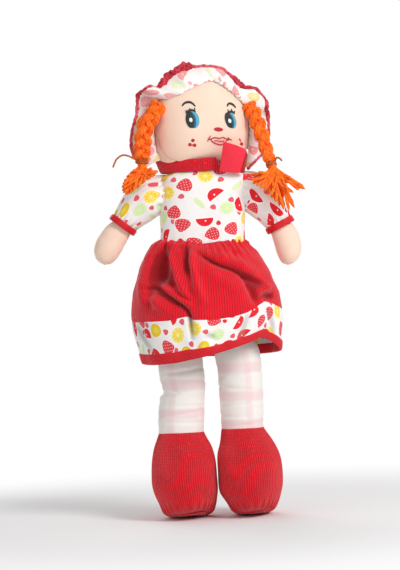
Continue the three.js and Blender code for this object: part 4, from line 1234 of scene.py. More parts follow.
for side, sign in SIDES.items():
    shoulder = pivots[f"{side}_shoulder_swing"]
    down = arm_places[side].to_3x3() @ Vector((0, 0, -1))
    out = arm_places[side].to_3x3() @ Vector((sign, 0, 0))
    armhole = Vector((0, 0, shoulder.z + SLEEVE_RISE))
    armhole.x = bodice_point(0.25 if sign > 0 else 0.75, armhole.z).x
    sleeve_length = SLEEVE_LENGTHS[side]
    cuff = shoulder + down * sleeve_length + out * ARM_BOW * math.sin(math.pi * sleeve_length / ARM_LENGTH)
    reach = [armhole, armhole + Vector((sign * SLEEVE_REACH, 0, 0)), cuff - down * SLEEVE_REACH, cuff]

    def spine(t):
        weights = ((1 - t) ** 3, 3 * t * (1 - t) ** 2, 3 * t * t * (1 - t), t ** 3)
        return sum((point * weight for point, weight in zip(reach, weights)), Vector())

    def sleeve_place(u, v):
        heading = (spine(min(v + 0.01, 1)) - spine(max(v - 0.01, 0))).normalized()
        deep = Vector((0, 1, 0))
        up = heading.cross(deep).normalized()
        angle = 2 * math.pi * u
        puff = SLEEVE_PUFF * math.sin(math.pi * v ** 0.8)
        gather = math.cos(SLEEVE_PLEATS * angle + 2 * math.sin(3 * angle))
        puff += gather * ARMHOLE_GATHERS * close_to(v, ARMHOLE_GATHER_SHARE)
        puff += gather * CUFF_GATHERS * close_to(1 - v, CUFF_GATHER_SHARE)
        high = SLEEVE_TOP[0] + (CUFF_RADIUS - SLEEVE_TOP[0]) * v + puff
        thick = SLEEVE_TOP[1] + (CUFF_RADIUS - SLEEVE_TOP[1]) * v + puff
        spot = spine(v) + up * high * math.cos(angle) + deep * thick * math.sin(angle)
        soft = noise.noise(spot / SLEEVE_LUMP) * math.sin(math.pi * v)
        spot += (up * math.cos(angle) + deep * math.sin(angle)) * soft * SLEEVE_LUMP_DEPTH
        hug = max(0.0, 1 - v / SLEEVE_HUG_SHARE) ** 2
        if hug:
            beside = Vector((neck_axis.x + sign * 0.1, spot.y, spot.z))
            seat_spot = bodice_tree.ray_cast(beside, Vector((-sign, 0, 0)))[0]
            seat_spot = seat_spot or bodice_tree.find_nearest(spot)[0]
            spot.x += (seat_spot.x - sign * SLEEVE_SEATED - spot.x) * hug
        return spot

    for number, (name, start, end, moved) in enumerate(SLEEVE_PARTS):
        flat = (SLEEVE_FLAT[0], SLEEVE_FLAT[1] * (end - start))
        bm = laid(bmesh.new(), 108, 18, flat, lambda u, v: sleeve_place(u, start + (end - start) * v))
        for _, corner in cloth_corners(bm):
            corner.uv.y += start * SLEEVE_FLAT[1] + PRINT_SHIFT * sign
        piece = make_piece(f"{side}_sleeve_{name}", bm, dress_print, wall=DRESS_WALL)
        spine(start)
        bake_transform(piece)
        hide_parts(f"{side}_sleeve")

    def cuff_strip(u):
        along = sleeve_length + CUFF_HEIGHT / 2
        middle = shoulder + down * along + out * ARM_BOW * math.sin(math.pi * along / ARM_LENGTH)
        angle = 2 * math.pi * u
        around = out * math.cos(angle) + Vector((0, 1, 0)) * math.sin(angle)
        radius = CUFF_RADIUS + CUFF_EASE + CUFF_WAVE * math.sin(9 * angle)
        return middle + around * radius, down * CUFF_HEIGHT / 2, around * CUFF_HALF_WALL

    bm = folded_strip(bmesh.new(), 90, (CUFF_LENGTH, 2 * CUFF_HEIGHT), cuff_strip)
    piece = make_piece(f"{side}_cuff_binding", bm, binding)
    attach(piece, f"{side}_arm")
    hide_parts(f"{side}_sleeve_binding")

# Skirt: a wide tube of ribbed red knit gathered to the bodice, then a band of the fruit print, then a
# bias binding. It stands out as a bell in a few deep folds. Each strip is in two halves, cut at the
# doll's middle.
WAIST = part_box("skirt")[1].z
BELL = [
    # share of the way down, half width on the doll's right and on its left, half depth, in mm
    (0.00, 42.0, 41.6, 28.6), (0.02, 48.5, 42.6, 31.0), (0.04, 52.5, 43.4, 34.0), (0.10, 58.5, 49.5, 39.0),
    (0.20, 64.6, 57.4, 46.0), (0.34, 71.2, 64.0, 52.2), (0.50, 75.6, 71.5, 56.6), (0.66, 76.4, 73.7, 59.2),
    (0.80, 73.2, 73.2, 59.5), (0.90, 69.6, 71.8, 58.6), (1.00, 66.2, 70.0, 57.0),
]
HEM = [
    # place across in mm and height of the lower edge in front, from the doll's right to its left
    (-77, 152.2), (-66, 152.6), (-35, 155.4), (2, 162.0), (23, 167.4), (40, 173.2), (50, 176.4), (57, 177.0),
    (64, 172.0), (70, 164.5), (77, 161.0),
]
BAND_TOP = [
    (-77, 197.0), (-40, 197.6), (-24, 200.6), (-20, 200.8), (-16.5, 197.4), (6, 196.6), (24, 198.5),
    (38, 202.0), (50, 208.5), (57, 213.0), (63, 211.5), (70, 208.0), (77, 204.5),
]
BACK_HEM = 157.5
BACK_BAND_TOP = 197.5
BINDING_HEIGHT = 10.2
FOLDS = [
    # how far it stands out in mm, its half width in mm, and the pixels of the picture that it follows
    (5.0, 5.0, [(160, 241), (149, 258), (143, 277), (141, 300)]),
    (-12.0, 7.0, [(164, 250), (160, 262), (159, 275), (157, 286)]),
    (-5.0, 5.0, [(170, 268), (171, 280), (174, 290)]), (-5.0, 6.0, [(155, 262), (152.5, 275), (152, 286)]),
    (5.0, 3.0, [(173.5, 246), (171.8, 259), (176.1, 275), (183, 289), (190, 302)]),
    (-8.5, 3.6, [(187.3, 243), (186.0, 256), (187.3, 267), (192, 279)]),
    (6.5, 4.0, [(194, 239), (191.6, 256), (193, 271), (197.4, 286), (203, 300)]),
    (-6.5, 2.4, [(197.4, 252.7), (213.2, 262.8), (232.2, 269.5), (249, 277.4), (263.7, 284)]),
    (-5.0, 5.0, [(240, 274), (252, 281), (263, 288)]),
    (3.5, 6.0, [(205, 270), (222, 280), (240, 289)]),
    (4.0, 5.0, [(212, 252), (232, 261), (254, 270)]),
    (-6.0, 4.0, [(247, 281), (252.5, 291), (257, 303)]),
    (-6.5, 3.6, [(263, 297), (270, 296), (275, 297)]),
    (3.5, 4.0, [(264, 286), (272, 288)]),
    (-7.5, 2.3, [
        (146, 289), (157, 290), (168.3, 297.6), (183, 306.6), (188.5, 313.3), (190.7, 322), (192, 338),
    ]),
    (4.5, 5.0, [(143, 297), (158, 304), (174, 315)]),
    (5.0, 3.5, [(160, 285), (174, 294), (190, 305)]),
    (-4.0, 2.5, [(176, 293), (184, 298), (192, 303)]),
    (-5.0, 4.0, [(149, 292), (149, 300), (150, 308)]),
    (-3.5, 2.6, [(135.7, 323), (141.3, 336), (152.6, 353)]),
    (2.5, 5.0, [(199, 322), (201, 334), (205, 348)]),
    (-3.0, 3.0, [(196, 344), (206, 336), (216, 338)]),
    (3.5, 6.0, [(262, 306), (258, 318), (252, 334)]),
    (-3.0, 3.5, [(250, 312), (244, 326), (240, 340)]),
    (-3.0, 3.0, [(270, 312), (273, 325), (274, 336)]),
]
WAIST_TUCKS = [
    # the same for the short tucks that the waist seam sets off
    (-3.0, 2.2, [(166, 241), (163, 252)]), (-2.2, 1.8, [(181, 241), (181, 251)]),
    (-2.6, 1.9, [(209.8, 242), (209.8, 251)]), (-2.0, 1.5, [(231, 242), (235, 256)]),
    (-2.0, 1.5, [(236, 243), (240, 255)]), (2.0, 2.4, [(233.5, 241), (238, 254)]),
    (2.2, 2.6, [(176, 240), (176, 250)]), (2.0, 2.6, [(204, 240), (205, 252)]),
    (2.2, 3.0, [(219, 240), (221, 252)]),
]
WAIST_SEAM = [
    # place across and height above the waist, in mm: the seam sags where the skirt's weight draws it down
    (-44, 5.6), (-38, 5.0), (-30, 3.0), (-17, 0.0), (-5, -3.4), (6, -2.8), (14, -1.6), (20, -1.4), (26, 1.0),
    (33, 1.2), (39, -1.6), (44, -2.0),
]
# Painted shade in the skirt's front folds: full at this depth in mm, and never darker than this share.
FOLD_DARKENING = 5.5
FOLD_DARKEST = 0.8
FOLDS_AT = -50 * MM
SKIRT_FRONT = -8 * MM
HEM_HALF_WALL = 1.5 * MM
FOLD_WITHIN = 3
FOLD_END_SHARE = 0.35
SEAM_SAG_SHARE = 0.07
GATHER_SHARE = 0.13
SEAM_DEPTHS = (0.7, 1.1)
SKIRT_LUMP = 17
WAVES = {
    # depth in mm, number all round and where they begin: gathers at the waist, and waves of back and front
    "gathers": [(1.3, 37, 0), (0.5, 61, 0)],
    "back": [(3.4, 9, 0.7 + math.pi / 2), (1.5, 5, 1)],
    "front": [(1.2, 8, 1.1 + math.pi / 2)],
}
SKIRT_HALF_WIDTH = 90 * RIB_PITCH
BAND_SHARE = (WAIST / MM - BACK_BAND_TOP) / (WAIST / MM - BACK_HEM)
BINDING_SHARE = 1 - (1 - BAND_SHARE) * BINDING_HEIGHT / (BACK_BAND_TOP - BACK_HEM)
HEM_SHARE = 0.4 * BINDING_SHARE + 0.6
BELL_ROWS, BAND_ROWS, HEM_ROWS, SEAM_ROWS = (np.array(rows) for rows in (BELL, BAND_TOP, HEM, WAIST_SEAM))
fold_lines = []
for height, half_width, pixels in FOLDS + WAIST_TUCKS:
    line = [seen_at(p.x, p.y, FOLDS_AT) for p in smooth_line([(*pixel, 0) for pixel in pixels], 12)]
    fold_lines.append((height, half_width, np.array([(p.x, p.z) for p in line]) / MM))


def fold_push(across, height):
    """How far the front of the skirt stands out at a place, in mm, for the folds that are seen there."""
    push = 0.0
    here = np.array((across, height))
    for stand, half_width, line in fold_lines:
        reach = FOLD_WITHIN * half_width
        if (here < line.min(0) - reach).any() or (here > line.max(0) + reach).any():
            continue
        steps = line[1:] - line[:-1]
        t = np.clip(((here - line[:-1]) * steps).sum(1) / (steps ** 2).sum(1), 0, 1)
        away = np.linalg.norm(line[:-1] + steps * t[:, None] - here, axis=1)
        nearest = int(away.argmin())
        along = (nearest + t[nearest]) / len(steps)
        fading = min(1.0, FOLD_END_SHARE + 4 * (1 - FOLD_END_SHARE) * min(along, 1 - along))
        push += stand * fading * close_to(away[nearest], half_width)
    return push


def skirt_point(sign, turn, down, inward=0.0):
    """The skirt's outside in one half: turn is -1 at the back, 0 at the side and 1 in front."""
    angle = math.pi / 2 * (1 - turn)
    bell = read(BELL_ROWS, down, 1, 2, 3)
    width = bell[0] if sign < 0 else bell[1]
    width += (sum(bell[:2]) / 2 - width) * abs(turn) ** 3
    across = sign * width * math.sin(angle)
    deep = bell[2] * math.cos(angle)
    front = 1 / (1 + math.exp(-7 * turn))
    band_top, hem = (
        back + (read(rows, across, 1) - back) * front
        for rows, back in ((BAND_ROWS, BACK_BAND_TOP), (HEM_ROWS, BACK_HEM))
    )
    if down < BAND_SHARE:
        height = WAIST / MM + (band_top - WAIST / MM) * down / BAND_SHARE
        height += read(SEAM_ROWS, across, 1) * front * close_to(down, SEAM_SAG_SHARE)
    else:
        height = band_top + (hem - band_top) * (down - BAND_SHARE) / (1 - BAND_SHARE)
    around = math.atan2(across, deep)
    gathers, back_waves, front_waves = (
        sum(depth * math.sin(count * around + start) for depth, count, start in rows)
        for rows in WAVES.values()
    )
    push = 1.2 * noise.noise(Vector((across, deep, 1.4 * height)) / SKIRT_LUMP) * min(1.0, down / 0.1)
    if front > 0.02:
        push += front * fold_push(across + neck_axis.x / MM, height) * min(1.0, down / 0.12)
    push += ((1 - front) * back_waves + front * front_waves) * down
    push += gathers * close_to(down, GATHER_SHARE) * min(1.0, down / 0.02)
    push -= SEAM_DEPTHS[0] * close_to(height - band_top, SEAM_DEPTHS[1]) + inward
    out = Vector((across / width, -deep / bell[2], 0)).normalized()
    return (Vector((across, -deep, height)) + out * push) * MM + neck_axis


def share_with_leg(piece, side):
    """Bakes the place of a half of the skirt into its mesh."""
    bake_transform(piece)


skirt_knit = ribbed_knit("skirt_rib_knit", "#F20E28", "#C00A1C", "#FC4450", fold_shade_colour="#8A0410")
skirt_strips = [
    # name and imported node, where it starts and ends on the way down, its rows and height as cut, how deep
    # a fold is before its painted shade begins, and its cloth
    ("skirt_half", "skirt", 0.0, BAND_SHARE + 0.006, 68, 82 * MM, 1.0, skirt_knit, "red_corduroy"),
    ("printed_band", "skirt_print_band", BAND_SHARE - 0.002, HEM_SHARE, 32, 35 * MM, 0.4, dress_print,
     "print_cloth"),
]
for side, sign in SIDES.items():
    for name, node, start, end, rows, height, shade_slack, material, cloth_slot in skirt_strips:
        bm = laid(
            bmesh.new(), 180, rows, (SKIRT_HALF_WIDTH, height),
            lambda u, v: skirt_point(sign, 2 * u - 1, start + (end - start) * v),
            closed=False,
        )
        for _, corner in cloth_corners(bm):
            corner.uv.x = sign * (SKIRT_HALF_WIDTH - corner.uv.x)
        # Painted shade: each point in front takes a share of dark colour from how deep its fold lies.
        painted_shade = bm.verts.layers.float.new("painted_shade")
        for vert in bm.verts:
            if vert.co.y < SKIRT_FRONT:
                sunk = -fold_push(vert.co.x / MM, vert.co.z / MM) - shade_slack
                vert[painted_shade] = min(FOLD_DARKEST, max(0.0, sunk) / FOLD_DARKENING)
        piece = make_piece(f"{side}_{name}", bm, material, wall=DRESS_WALL)
        share_with_leg(piece, side)
        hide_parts(node)

    def hem_strip(u):
        turn = 2 * u - 1
        low = skirt_point(sign, turn, 1.0, 0.4)
        high = skirt_point(sign, turn, BINDING_SHARE, 0.4)
        out = (low - skirt_point(sign, turn, 1.0, 1.4)).normalized()
        return (low + high) / 2, (low - high) / 2, out * HEM_HALF_WALL

    bm = folded_strip(bmesh.new(), 180, (SKIRT_HALF_WIDTH, 2 * BINDING_HEIGHT * MM), hem_strip, rings=14)
    bmesh.ops.holes_fill(bm, edges=[edge for edge in bm.edges if edge.is_boundary])
    piece = make_piece(f"{side}_hem_half", bm, binding)
    share_with_leg(piece, side)
    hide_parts("hem_binding")

# Collar: a standing band of red ribbed ribbon round the neck, its ribs upright. Its end is cut in a
# notch in front, and beside that a stiff satin flap stands before the chin. The shade on its doubled-over
# edge is painted in its colour as a dark strip.
COLLAR_RIB = 1.6 * MM
COLLAR_RIBS = 156
COLLAR_HEIGHT = 26 * MM
COLLAR_FOOT_EASE = 1.2 * MM
COLLAR_FOOT_SPREAD = 0.8 * MM
COLLAR_SUNK = 0.2 * MM
COLLAR_WAVE = 0.4 * MM
NOTCH_PLACE = 23.2 * MM
NOTCH_DEPTH = 9.0 * MM
NOTCH_HALF_WIDTH = 3.0 * MM
COLLAR_HALF_WALL = 1.1 * MM
COLLAR_SPREAD = 2.6 * MM
FLAP_CORNERS = [
    # pixel of the picture and depth in mm: along the foot, then along the top, from left to right
    [
        (219.2, 171.2, -29.0), (225, 172.4, -29.6), (232, 173.0, -29.4), (240.2, 173.2, -27.5),
        (244.6, 173.2, -20.5),
    ],
    [
        (223.2, 141.8, -42.0), (231.0, 143.6, -42.0), (239.8, 146.6, -41.0), (246.6, 150.6, -37.5),
        (247.6, 158.4, -30.0),
    ],
]
FLAP_FLAT = (34 * MM, 28 * MM)
FLAP_WALL = 1.3 * MM
FLAP_BOW = 1.2 * MM
SATIN_THREAD = (0.8 * MM, 0.8 * MM, 14 * MM)
SATIN_RELIEF = 0.1 * MM
# Where the flap's painted shade begins and where it is full, across its cloth.
FLAP_SHADE_EDGE = (24.6 * MM, 25.8 * MM)
FLAP_STEPS = 40
collar_table = girths("collar_band")
collar_low, collar_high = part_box("collar_band")


def collar_strip(u):
    angle = 2 * math.pi * u
    low = girth_point(collar_table, collar_low.z, u, COLLAR_FOOT_EASE)
    high = girth_point(collar_table, collar_high.z, u, COLLAR_SPREAD)
    high.x -= COLLAR_SPREAD * max(0.0, -math.sin(angle)) ** 2
    low.x -= COLLAR_FOOT_SPREAD * max(0.0, -math.sin(angle)) ** 2
    high.z = collar_high.z - COLLAR_SUNK + COLLAR_WAVE * math.sin(3 * angle)
    if high.y < 0:
        notch = max(0.0, 1 - abs(high.x - NOTCH_PLACE) / NOTCH_HALF_WIDTH)
        high = high + (low - high) * notch * NOTCH_DEPTH / (high - low).length
    out = Vector((math.sin(angle), math.cos(angle), 0))
    return (low + high) / 2, (low - high) / 2, out * COLLAR_HALF_WALL


collar_knit = ribbed_knit("collar_ribbon", "#E8142A", "#BC0A1C", "#FF6A72", COLLAR_RIB)
bm = folded_strip(bmesh.new(), 3 * COLLAR_RIBS, (COLLAR_RIBS * COLLAR_RIB, COLLAR_HEIGHT), collar_strip)
piece = make_piece("collar_ribbon", bm, collar_knit)
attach(piece, "torso")
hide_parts("collar_band")

satin, tree, shader = start_material("red_satin", 0.38, sheen=0.1)
# Stiff satin ribbon, woven so fine that only a soft shine and a few long threads show.
long_threads = add_node(tree, "ShaderNodeMapping", {
    "Vector": own_place(tree), "Scale": [1 / size for size in SATIN_THREAD],
}).outputs[0]
grain = clouds(tree, long_threads, 1.0, 2.0)
across = add_node(tree, "ShaderNodeSeparateXYZ", {0: cloth_place(tree)}).outputs["X"]
# Painted shade: beyond the given place across the cloth the satin is dark red, as the shade on its doubled-over
# edge.
tone = mix(tree, ramp(tree, across, *FLAP_SHADE_EDGE), mix(tree, grain, "#F01E38", "#FF3A50"), "#B01020")
finish_surface(tree, shader, tone, grain, SATIN_RELIEF, 0.3)

flap_rows = [smooth_line(row, FLAP_STEPS) for row in FLAP_CORNERS]


def flap_place(u, v):
    foot, top = (row[min(int(round(u * FLAP_STEPS)), FLAP_STEPS)] for row in flap_rows)
    spot = foot + (top - foot) * v
    bow = FLAP_BOW * math.sin(math.pi * v) * math.sin(math.pi * u)
    return seen_at(spot.x, spot.y, spot.z * MM - bow)


bm = laid(bmesh.new(), FLAP_STEPS, 24, FLAP_FLAT, flap_place, closed=False)
piece = make_piece("collar_satin_flap", bm, satin, wall=FLAP_WALL, levels=1, toward=camera_back)
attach(piece, "torso")
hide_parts("collar_flap")

# Bonnet: a puffed crown over the back of the head, gathered to a wide frill round the face. Both are of
# the fruit print, and in the frill its paler wrong side shows. The frill's edge has a crumpled red trim.
CROWN_GAP = 3.4
GATHER_GAP = 1.6
CROWN_PUFF = 6.0
CROWN_FLATTENED = 0.84
CROWN_TRIMMED = 0.4 * MM
CROWN_LUMPS = (17 * MM, 8 * MM)
CROWN_LUMP_DEPTH = 1.3 * MM
CROWN_PLEATS = (41, 67)
CROWN_PLEAT_DEPTH = 0.9
CROWN_PLEAT_SHARE = 0.3
FRILL_FROM = -46
FRILL_SWEEP = 268
FRILL_LEAN = 8.0
FRILL_FLARE = 4.0
FRILL_COLUMNS = 420
FRILL_HOLLOW = 3.0 * MM
FRILL_GATHER = 0.6 * MM
FRILL_GATHERS = 47
FRILL_FOLD = 2.2
FRILL_FOLD_AT = 77
FRILL_WAVES = [(2.2, 11, -11 * math.pi / 2), (1.1, 23, 1)]
PRINT_RUN_FROM = 0.4
PRINT_RUN_EASE = 1.08
FRILL_MIDDLE = 0.6
RIM_ENDS = [
    # degrees round the face from the doll's left ear, and how far forward the gathered line lies on the head
    [(-46, 0.18), (-20, 0.23), (-7, 0.32)], [(163, 0.3), (172, 0.18), (226, 0.18)],
]
RIM_PIXELS = [
    # where the gathered line is seen, from the doll's left to its right
    (242.1, 104.4), (235.3, 97.6), (228.4, 91.4), (221.5, 86.6), (213.3, 81.8), (207.8, 81.8), (201, 85.2),
    (192.8, 89.1), (181.8, 94.8), (170.8, 99.2), (164, 100.3), (159.8, 100.3),
]
FRILL_EDGE = [
    # degrees, the pixel at which the trim's outer edge is seen, and the trim's height in mm
    (-48, 246.0, 172.4, 2.0), (-40, 253.0, 165.5, 2.0), (-30, 262.0, 156.6, 2.0), (-24, 266.8, 149.7, 2.0),
    (-15, 270.2, 138.7, 2.0), (-4, 270.2, 125.0, 2.2), (5, 269.4, 112.5, 4.0), (9, 268.9, 108.6, 3.6),
    (16, 268.0, 100.3, 2.2), (21, 264.7, 95.5, 2.0), (29.5, 257.2, 87.3, 3.2), (38, 244.9, 84.6, 5.5),
    (49, 236.6, 77.0, 5.0), (55, 231.8, 74.3, 3.0), (66, 222.9, 66.7, 2.2), (77, 212.0, 64.7, 2.0),
    (88, 201.0, 64.4, 2.2), (95, 194.0, 64.9, 3.0), (99.5, 190.0, 62.6, 5.5), (104.5, 184.5, 61.9, 7.5),
    (109.5, 179.7, 63.6, 7.5), (118, 172.2, 68.8, 6.0), (126, 165.3, 72.9, 7.0), (135.5, 159.8, 81.1, 6.5),
    (142.5, 155.9, 87.6, 3.0), (145.5, 150.4, 84.4, 3.0), (149, 144.8, 86.6, 3.0), (157.5, 136.0, 93.8, 4.0),
    (163, 135.6, 100.3, 2.6), (170, 135.6, 108.6, 2.2), (177, 134.5, 116.8, 2.4), (186.5, 131.0, 127.8, 2.4),
    (195, 129.4, 138.7, 2.4), (202, 129.7, 148.3, 2.4), (209, 132.4, 156.6, 2.4), (218, 140.0, 166.0, 2.4),
    (226, 148.0, 172.0, 2.4),
]
TRIM_CRUMPLES = [(3.4 * MM, (0, 0, 0)), (2.8 * MM, (9, 0, 0)), (3.1 * MM, (0, 7, 0))]
CRUMPLE_SHARE = 0.30
TRIM_TUCK = 1.0 * MM
TRIM_HALF_WALL = 0.9 * MM
TRIM_WALL_SHARE = 0.16
TRIM_CRUSH = 3.2 * MM
TRIM_DENSE = (2.2 * MM, 4.0 * MM)
TRIM_RELIEF = 1.2 * MM
TRIM_FLAT = (300 * MM, 12 * MM)
rim_seen = []
for column, row in RIM_PIXELS:
    spot = head_upright @ on_face(column, row)
    rise = (spot.z - head_middle) / ((1 - HEAD_MIDDLE_SHARE) * head_height)
    degrees = math.degrees(math.atan2(rise, spot.x / head_half_width))
    rim_seen.append((degrees, min(0.87, spot.y / face_low.y)))
rim_rows, edge_rows = np.array(RIM_ENDS[0] + rim_seen + RIM_ENDS[1]), np.array(FRILL_EDGE)


def bonnet_ray(degrees, tilt):
    """A direction from the head's middle: round the face, then from its front rim towards the back."""
    angle = math.radians(degrees)
    return Vector((math.cos(angle) * math.cos(tilt), math.sin(tilt), math.sin(angle) * math.cos(tilt)))


def rim_tilt(degrees):
    """How far forward the gathered line between crown and frill lies."""
    return -math.asin(read(rim_rows, (degrees + 90) % 360 - 90, 1))


def crown_place(u, v):
    degrees = 360 * u - 90
    start = rim_tilt(degrees)
    share = math.sin(math.pi / 2 * v)
    tilt = start + (math.pi / 2 - start) * share
    angle = math.radians(degrees)
    pleats = math.cos(CROWN_PLEATS[0] * angle + 2 * math.sin(5 * angle))
    pleats += 0.5 * math.cos(CROWN_PLEATS[1] * angle)
    ease = GATHER_GAP + (CROWN_GAP + CROWN_PUFF * math.sin(math.pi * share) ** 0.8) * min(1.0, 5 * share)
    flattened = min(1.0, 1.6 * max(0.0, math.sin(angle))) * max(0.0, math.cos(tilt)) ** 2
    ease -= CROWN_FLATTENED * (ease - GATHER_GAP) * flattened
    ease += CROWN_PLEAT_DEPTH * pleats * close_to(share, CROWN_PLEAT_SHARE) * min(1.0, share / 0.03)
    spot = head_point(bonnet_ray(degrees, tilt), ease * MM)
    soft = noise.noise(spot / CROWN_LUMPS[0]) + 0.5 * noise.noise(spot / CROWN_LUMPS[1])
    outward = (spot - head_place @ Vector((0, 0, head_middle))).normalized()
    return spot + outward * CROWN_LUMP_DEPTH * soft * min(1.0, 6 * share)


bonnet_print = fruit_print("faded_fruit_print", 0.42)
bm = laid(bmesh.new(), 300, 60, (1.0, 1.0), crown_place)
# The print is laid out from the middle of the back, so that only the gathers at the rim draw it together.
for _, corner in cloth_corners(bm):
    around, down = corner.uv
    start = rim_tilt(360 * around - 90)
    reach = (math.pi / 2 - start) * (1 - math.sin(math.pi / 2 * down)) * head_half_width
    angle = 2 * math.pi * around
    corner.uv = (PRINT_SHIFT + reach * math.cos(angle), PRINT_SHIFT + reach * math.sin(angle))
bmesh.ops.bisect_plane(
    bm, geom=bm.verts[:] + bm.edges[:] + bm.faces[:],
    plane_co=(0, 0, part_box("bonnet_crown")[0].z + CROWN_TRIMMED), plane_no=(0, 0, -1), clear_outer=True,
)
piece = make_piece("bonnet_back", bm, bonnet_print, wall=DRESS_WALL)
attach(piece, "head")
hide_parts("bonnet_crown")


def frill_point(degrees, share, beyond=0.0):
    """A point of the frill, from its gathered line (share 0) to its edge (share 1) and beyond."""
    angle = math.radians(degrees)
    column, row, trim = read(edge_rows, degrees, 1, 2, 3)
    line = head_upright @ head_point(bonnet_ray(degrees, rim_tilt(degrees)), GATHER_GAP * MM)
    top_share = max(0.0, math.sin(angle)) ** 2
    wave = sum(depth * math.sin(count * angle + start) for depth, count, start in FRILL_WAVES)
    fold = FRILL_FOLD / (1 + math.exp((degrees - FRILL_FOLD_AT - 9 * share) / 0.8))
    ahead = line.y + (FRILL_FLARE * (1 - top_share) + FRILL_LEAN * top_share) * share * MM
    ahead += (wave * share ** 0.8 * (1 - 0.5 * top_share) - fold * (0.3 + share)) * MM
    ahead -= FRILL_HOLLOW * math.sin(math.pi * min(1.0, share)) * top_share
    square = head_place.to_3x3() @ Vector((0, 1, 0))
    ray = sight(column, row)
    reach = (head_place @ Vector((0, ahead, 0)) - camera_place).dot(square) / ray.dot(square)
    edge = head_upright @ (camera_place + ray * reach)
    outward = Vector((edge.x - line.x, 0, edge.z - line.z)).normalized()
    edge -= outward * trim * MM
    gather = FRILL_GATHER * math.cos(FRILL_GATHERS * angle) * close_to(share, CROWN_PLEAT_SHARE)
    spot = Vector((line.x + (edge.x - line.x) * share, ahead, line.z + (edge.z - line.z) * share))
    return head_place @ (spot + outward * (beyond + gather))


def brim_place(u, v):
    share = 1 - abs(2 * v - 1)
    ahead = head_place.to_3x3() @ Vector((0, -DRESS_WALL / 2, 0))
    return frill_point(FRILL_FROM + FRILL_SWEEP * u, share) + ahead * math.sin(2 * math.pi * v)


bm = laid(bmesh.new(), FRILL_COLUMNS, 32, (FRILL_COLUMNS, 2.0), brim_place)
bmesh.ops.holes_fill(bm, edges=[edge for edge in bm.edges if edge.is_boundary])
# The print keeps its true size along the frill's curve and across it.
columns = [FRILL_FROM + FRILL_SWEEP * i / FRILL_COLUMNS for i in range(FRILL_COLUMNS + 1)]
middles = [frill_point(degrees, FRILL_MIDDLE) for degrees in columns]
runs = [PRINT_RUN_EASE * (b - a).length for a, b in zip(middles, middles[1:])]
runs = np.cumsum([PRINT_RUN_FROM] + runs)
widths = [(frill_point(degrees, 1.0) - frill_point(degrees, 0.0)).length for degrees in columns]
for _, corner in cloth_corners(bm):
    i = round(corner.uv.x)
    corner.uv = (runs[i], (1 - abs(corner.uv.y - 1)) * widths[i])
piece = make_piece("bonnet_brim", bm, bonnet_print)
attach(piece, "head")
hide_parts("bonnet_frill")


def trim_place(u, v):
    degrees = FRILL_FROM + FRILL_SWEEP * u
    trim = read(edge_rows, degrees, 3) * MM
    edge = frill_point(degrees, 1.0, -TRIM_TUCK)
    far = frill_point(degrees, 1.0, trim)
    out = head_place.to_3x3() @ Vector((0, -1, 0))
    angle = 2 * math.pi * v
    half_wall = TRIM_HALF_WALL + TRIM_WALL_SHARE * trim
    if u in (0.0, 1.0):
        return (edge + far) / 2
    spot = (edge + far) / 2 + (far - edge) / 2 * math.cos(angle) + out * half_wall * math.sin(angle)
    crumple = Vector(noise.noise(spot / size + Vector(shift)) for size, shift in TRIM_CRUMPLES)
    return spot + crumple * trim * CRUMPLE_SHARE


trim_satin, tree, shader = start_material("crumpled_red_trim", 0.42, sheen=0.05)
# Thin satin ribbon with a woven net over it, crushed into small folds. Its colour holds painted shade in the folds
# and a painted highlight on their crests, and painted pink where the trim is so thin that light comes through.
# The crumple pattern gives both the bump and the painted shade and highlight.
crush_and_shade = clouds(tree, own_place(tree), TRIM_CRUSH, 4.0, 0.65)
height = add_node(tree, "ShaderNodeSeparateXYZ", {0: cloth_place(tree)}).outputs["Y"]
thick = ramp(tree, height, *TRIM_DENSE)
tone = mix(
    tree, ramp(tree, crush_and_shade, 0.4, 0.68),
    mix(tree, thick, "#C4283C", "#980F1E"), mix(tree, thick, "#EC7A82", "#E8384C"),
)
finish_surface(tree, shader, tone, crush_and_shade, TRIM_RELIEF, 0.8)
bm = laid(bmesh.new(), 560, 12, TRIM_FLAT, trim_place)
for _, corner in cloth_corners(bm):
    degrees = FRILL_FROM + FRILL_SWEEP * corner.uv.x / TRIM_FLAT[0]
    corner.uv.y = read(edge_rows, degrees, 3) * MM
piece = make_piece("bonnet_trim", bm, trim_satin)
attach(piece, "head")
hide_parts("frill_binding")

# Plaits: thick orange acrylic yarn sewn to the head under the frill, plaited in three strands, tied
# with a brown yarn, and left loose below the tie.
YARN_RADIUS = 1.35 * MM
YARN_PLY = 2.2 * MM
YARN_SHADE = 9 * MM
YARN_RELIEF = 0.25 * MM
YARN_RING_SHARE = 0.62
YARNS_IN_STRAND = 7
PLAIT_CYCLE = 33 * MM
TASSEL_YARNS = 60
PLAIT_STEPS = 72
PLAIT_SWELL_PLACES = [0, 0.08, 0.4, 0.8, 1]
SWINGS_FROM = 3
SWINGS_FULLY_FROM = 30
STRAND_YARN_SIZE = 3.6
TIE_TURNS = 3
TIE_STEPS = 96
TIE_FROM = 0.6 * MM
TIE_RISE = 3.4 * MM
STRAND_TWIST = 0.05
TIE_RADIUS = 0.9 * MM
TIE_END_RADIUS = 0.95 * MM
TASSEL_YARN_RADIUS = 1.45 * MM
TASSEL_ROOT_RADIUS = 2.6 * MM
TASSEL_ROOT = 2.5 * MM
TASSEL_LEAD = (-2 * MM, 4 * MM, 6 * MM)
TASSEL_WIGGLE = 1.8 * MM
TASSEL_DEPTH = 9
TASSEL_SHORT_SHARES = (0.78, 0.18)
TASSEL_BEND_SHARE = 0.35
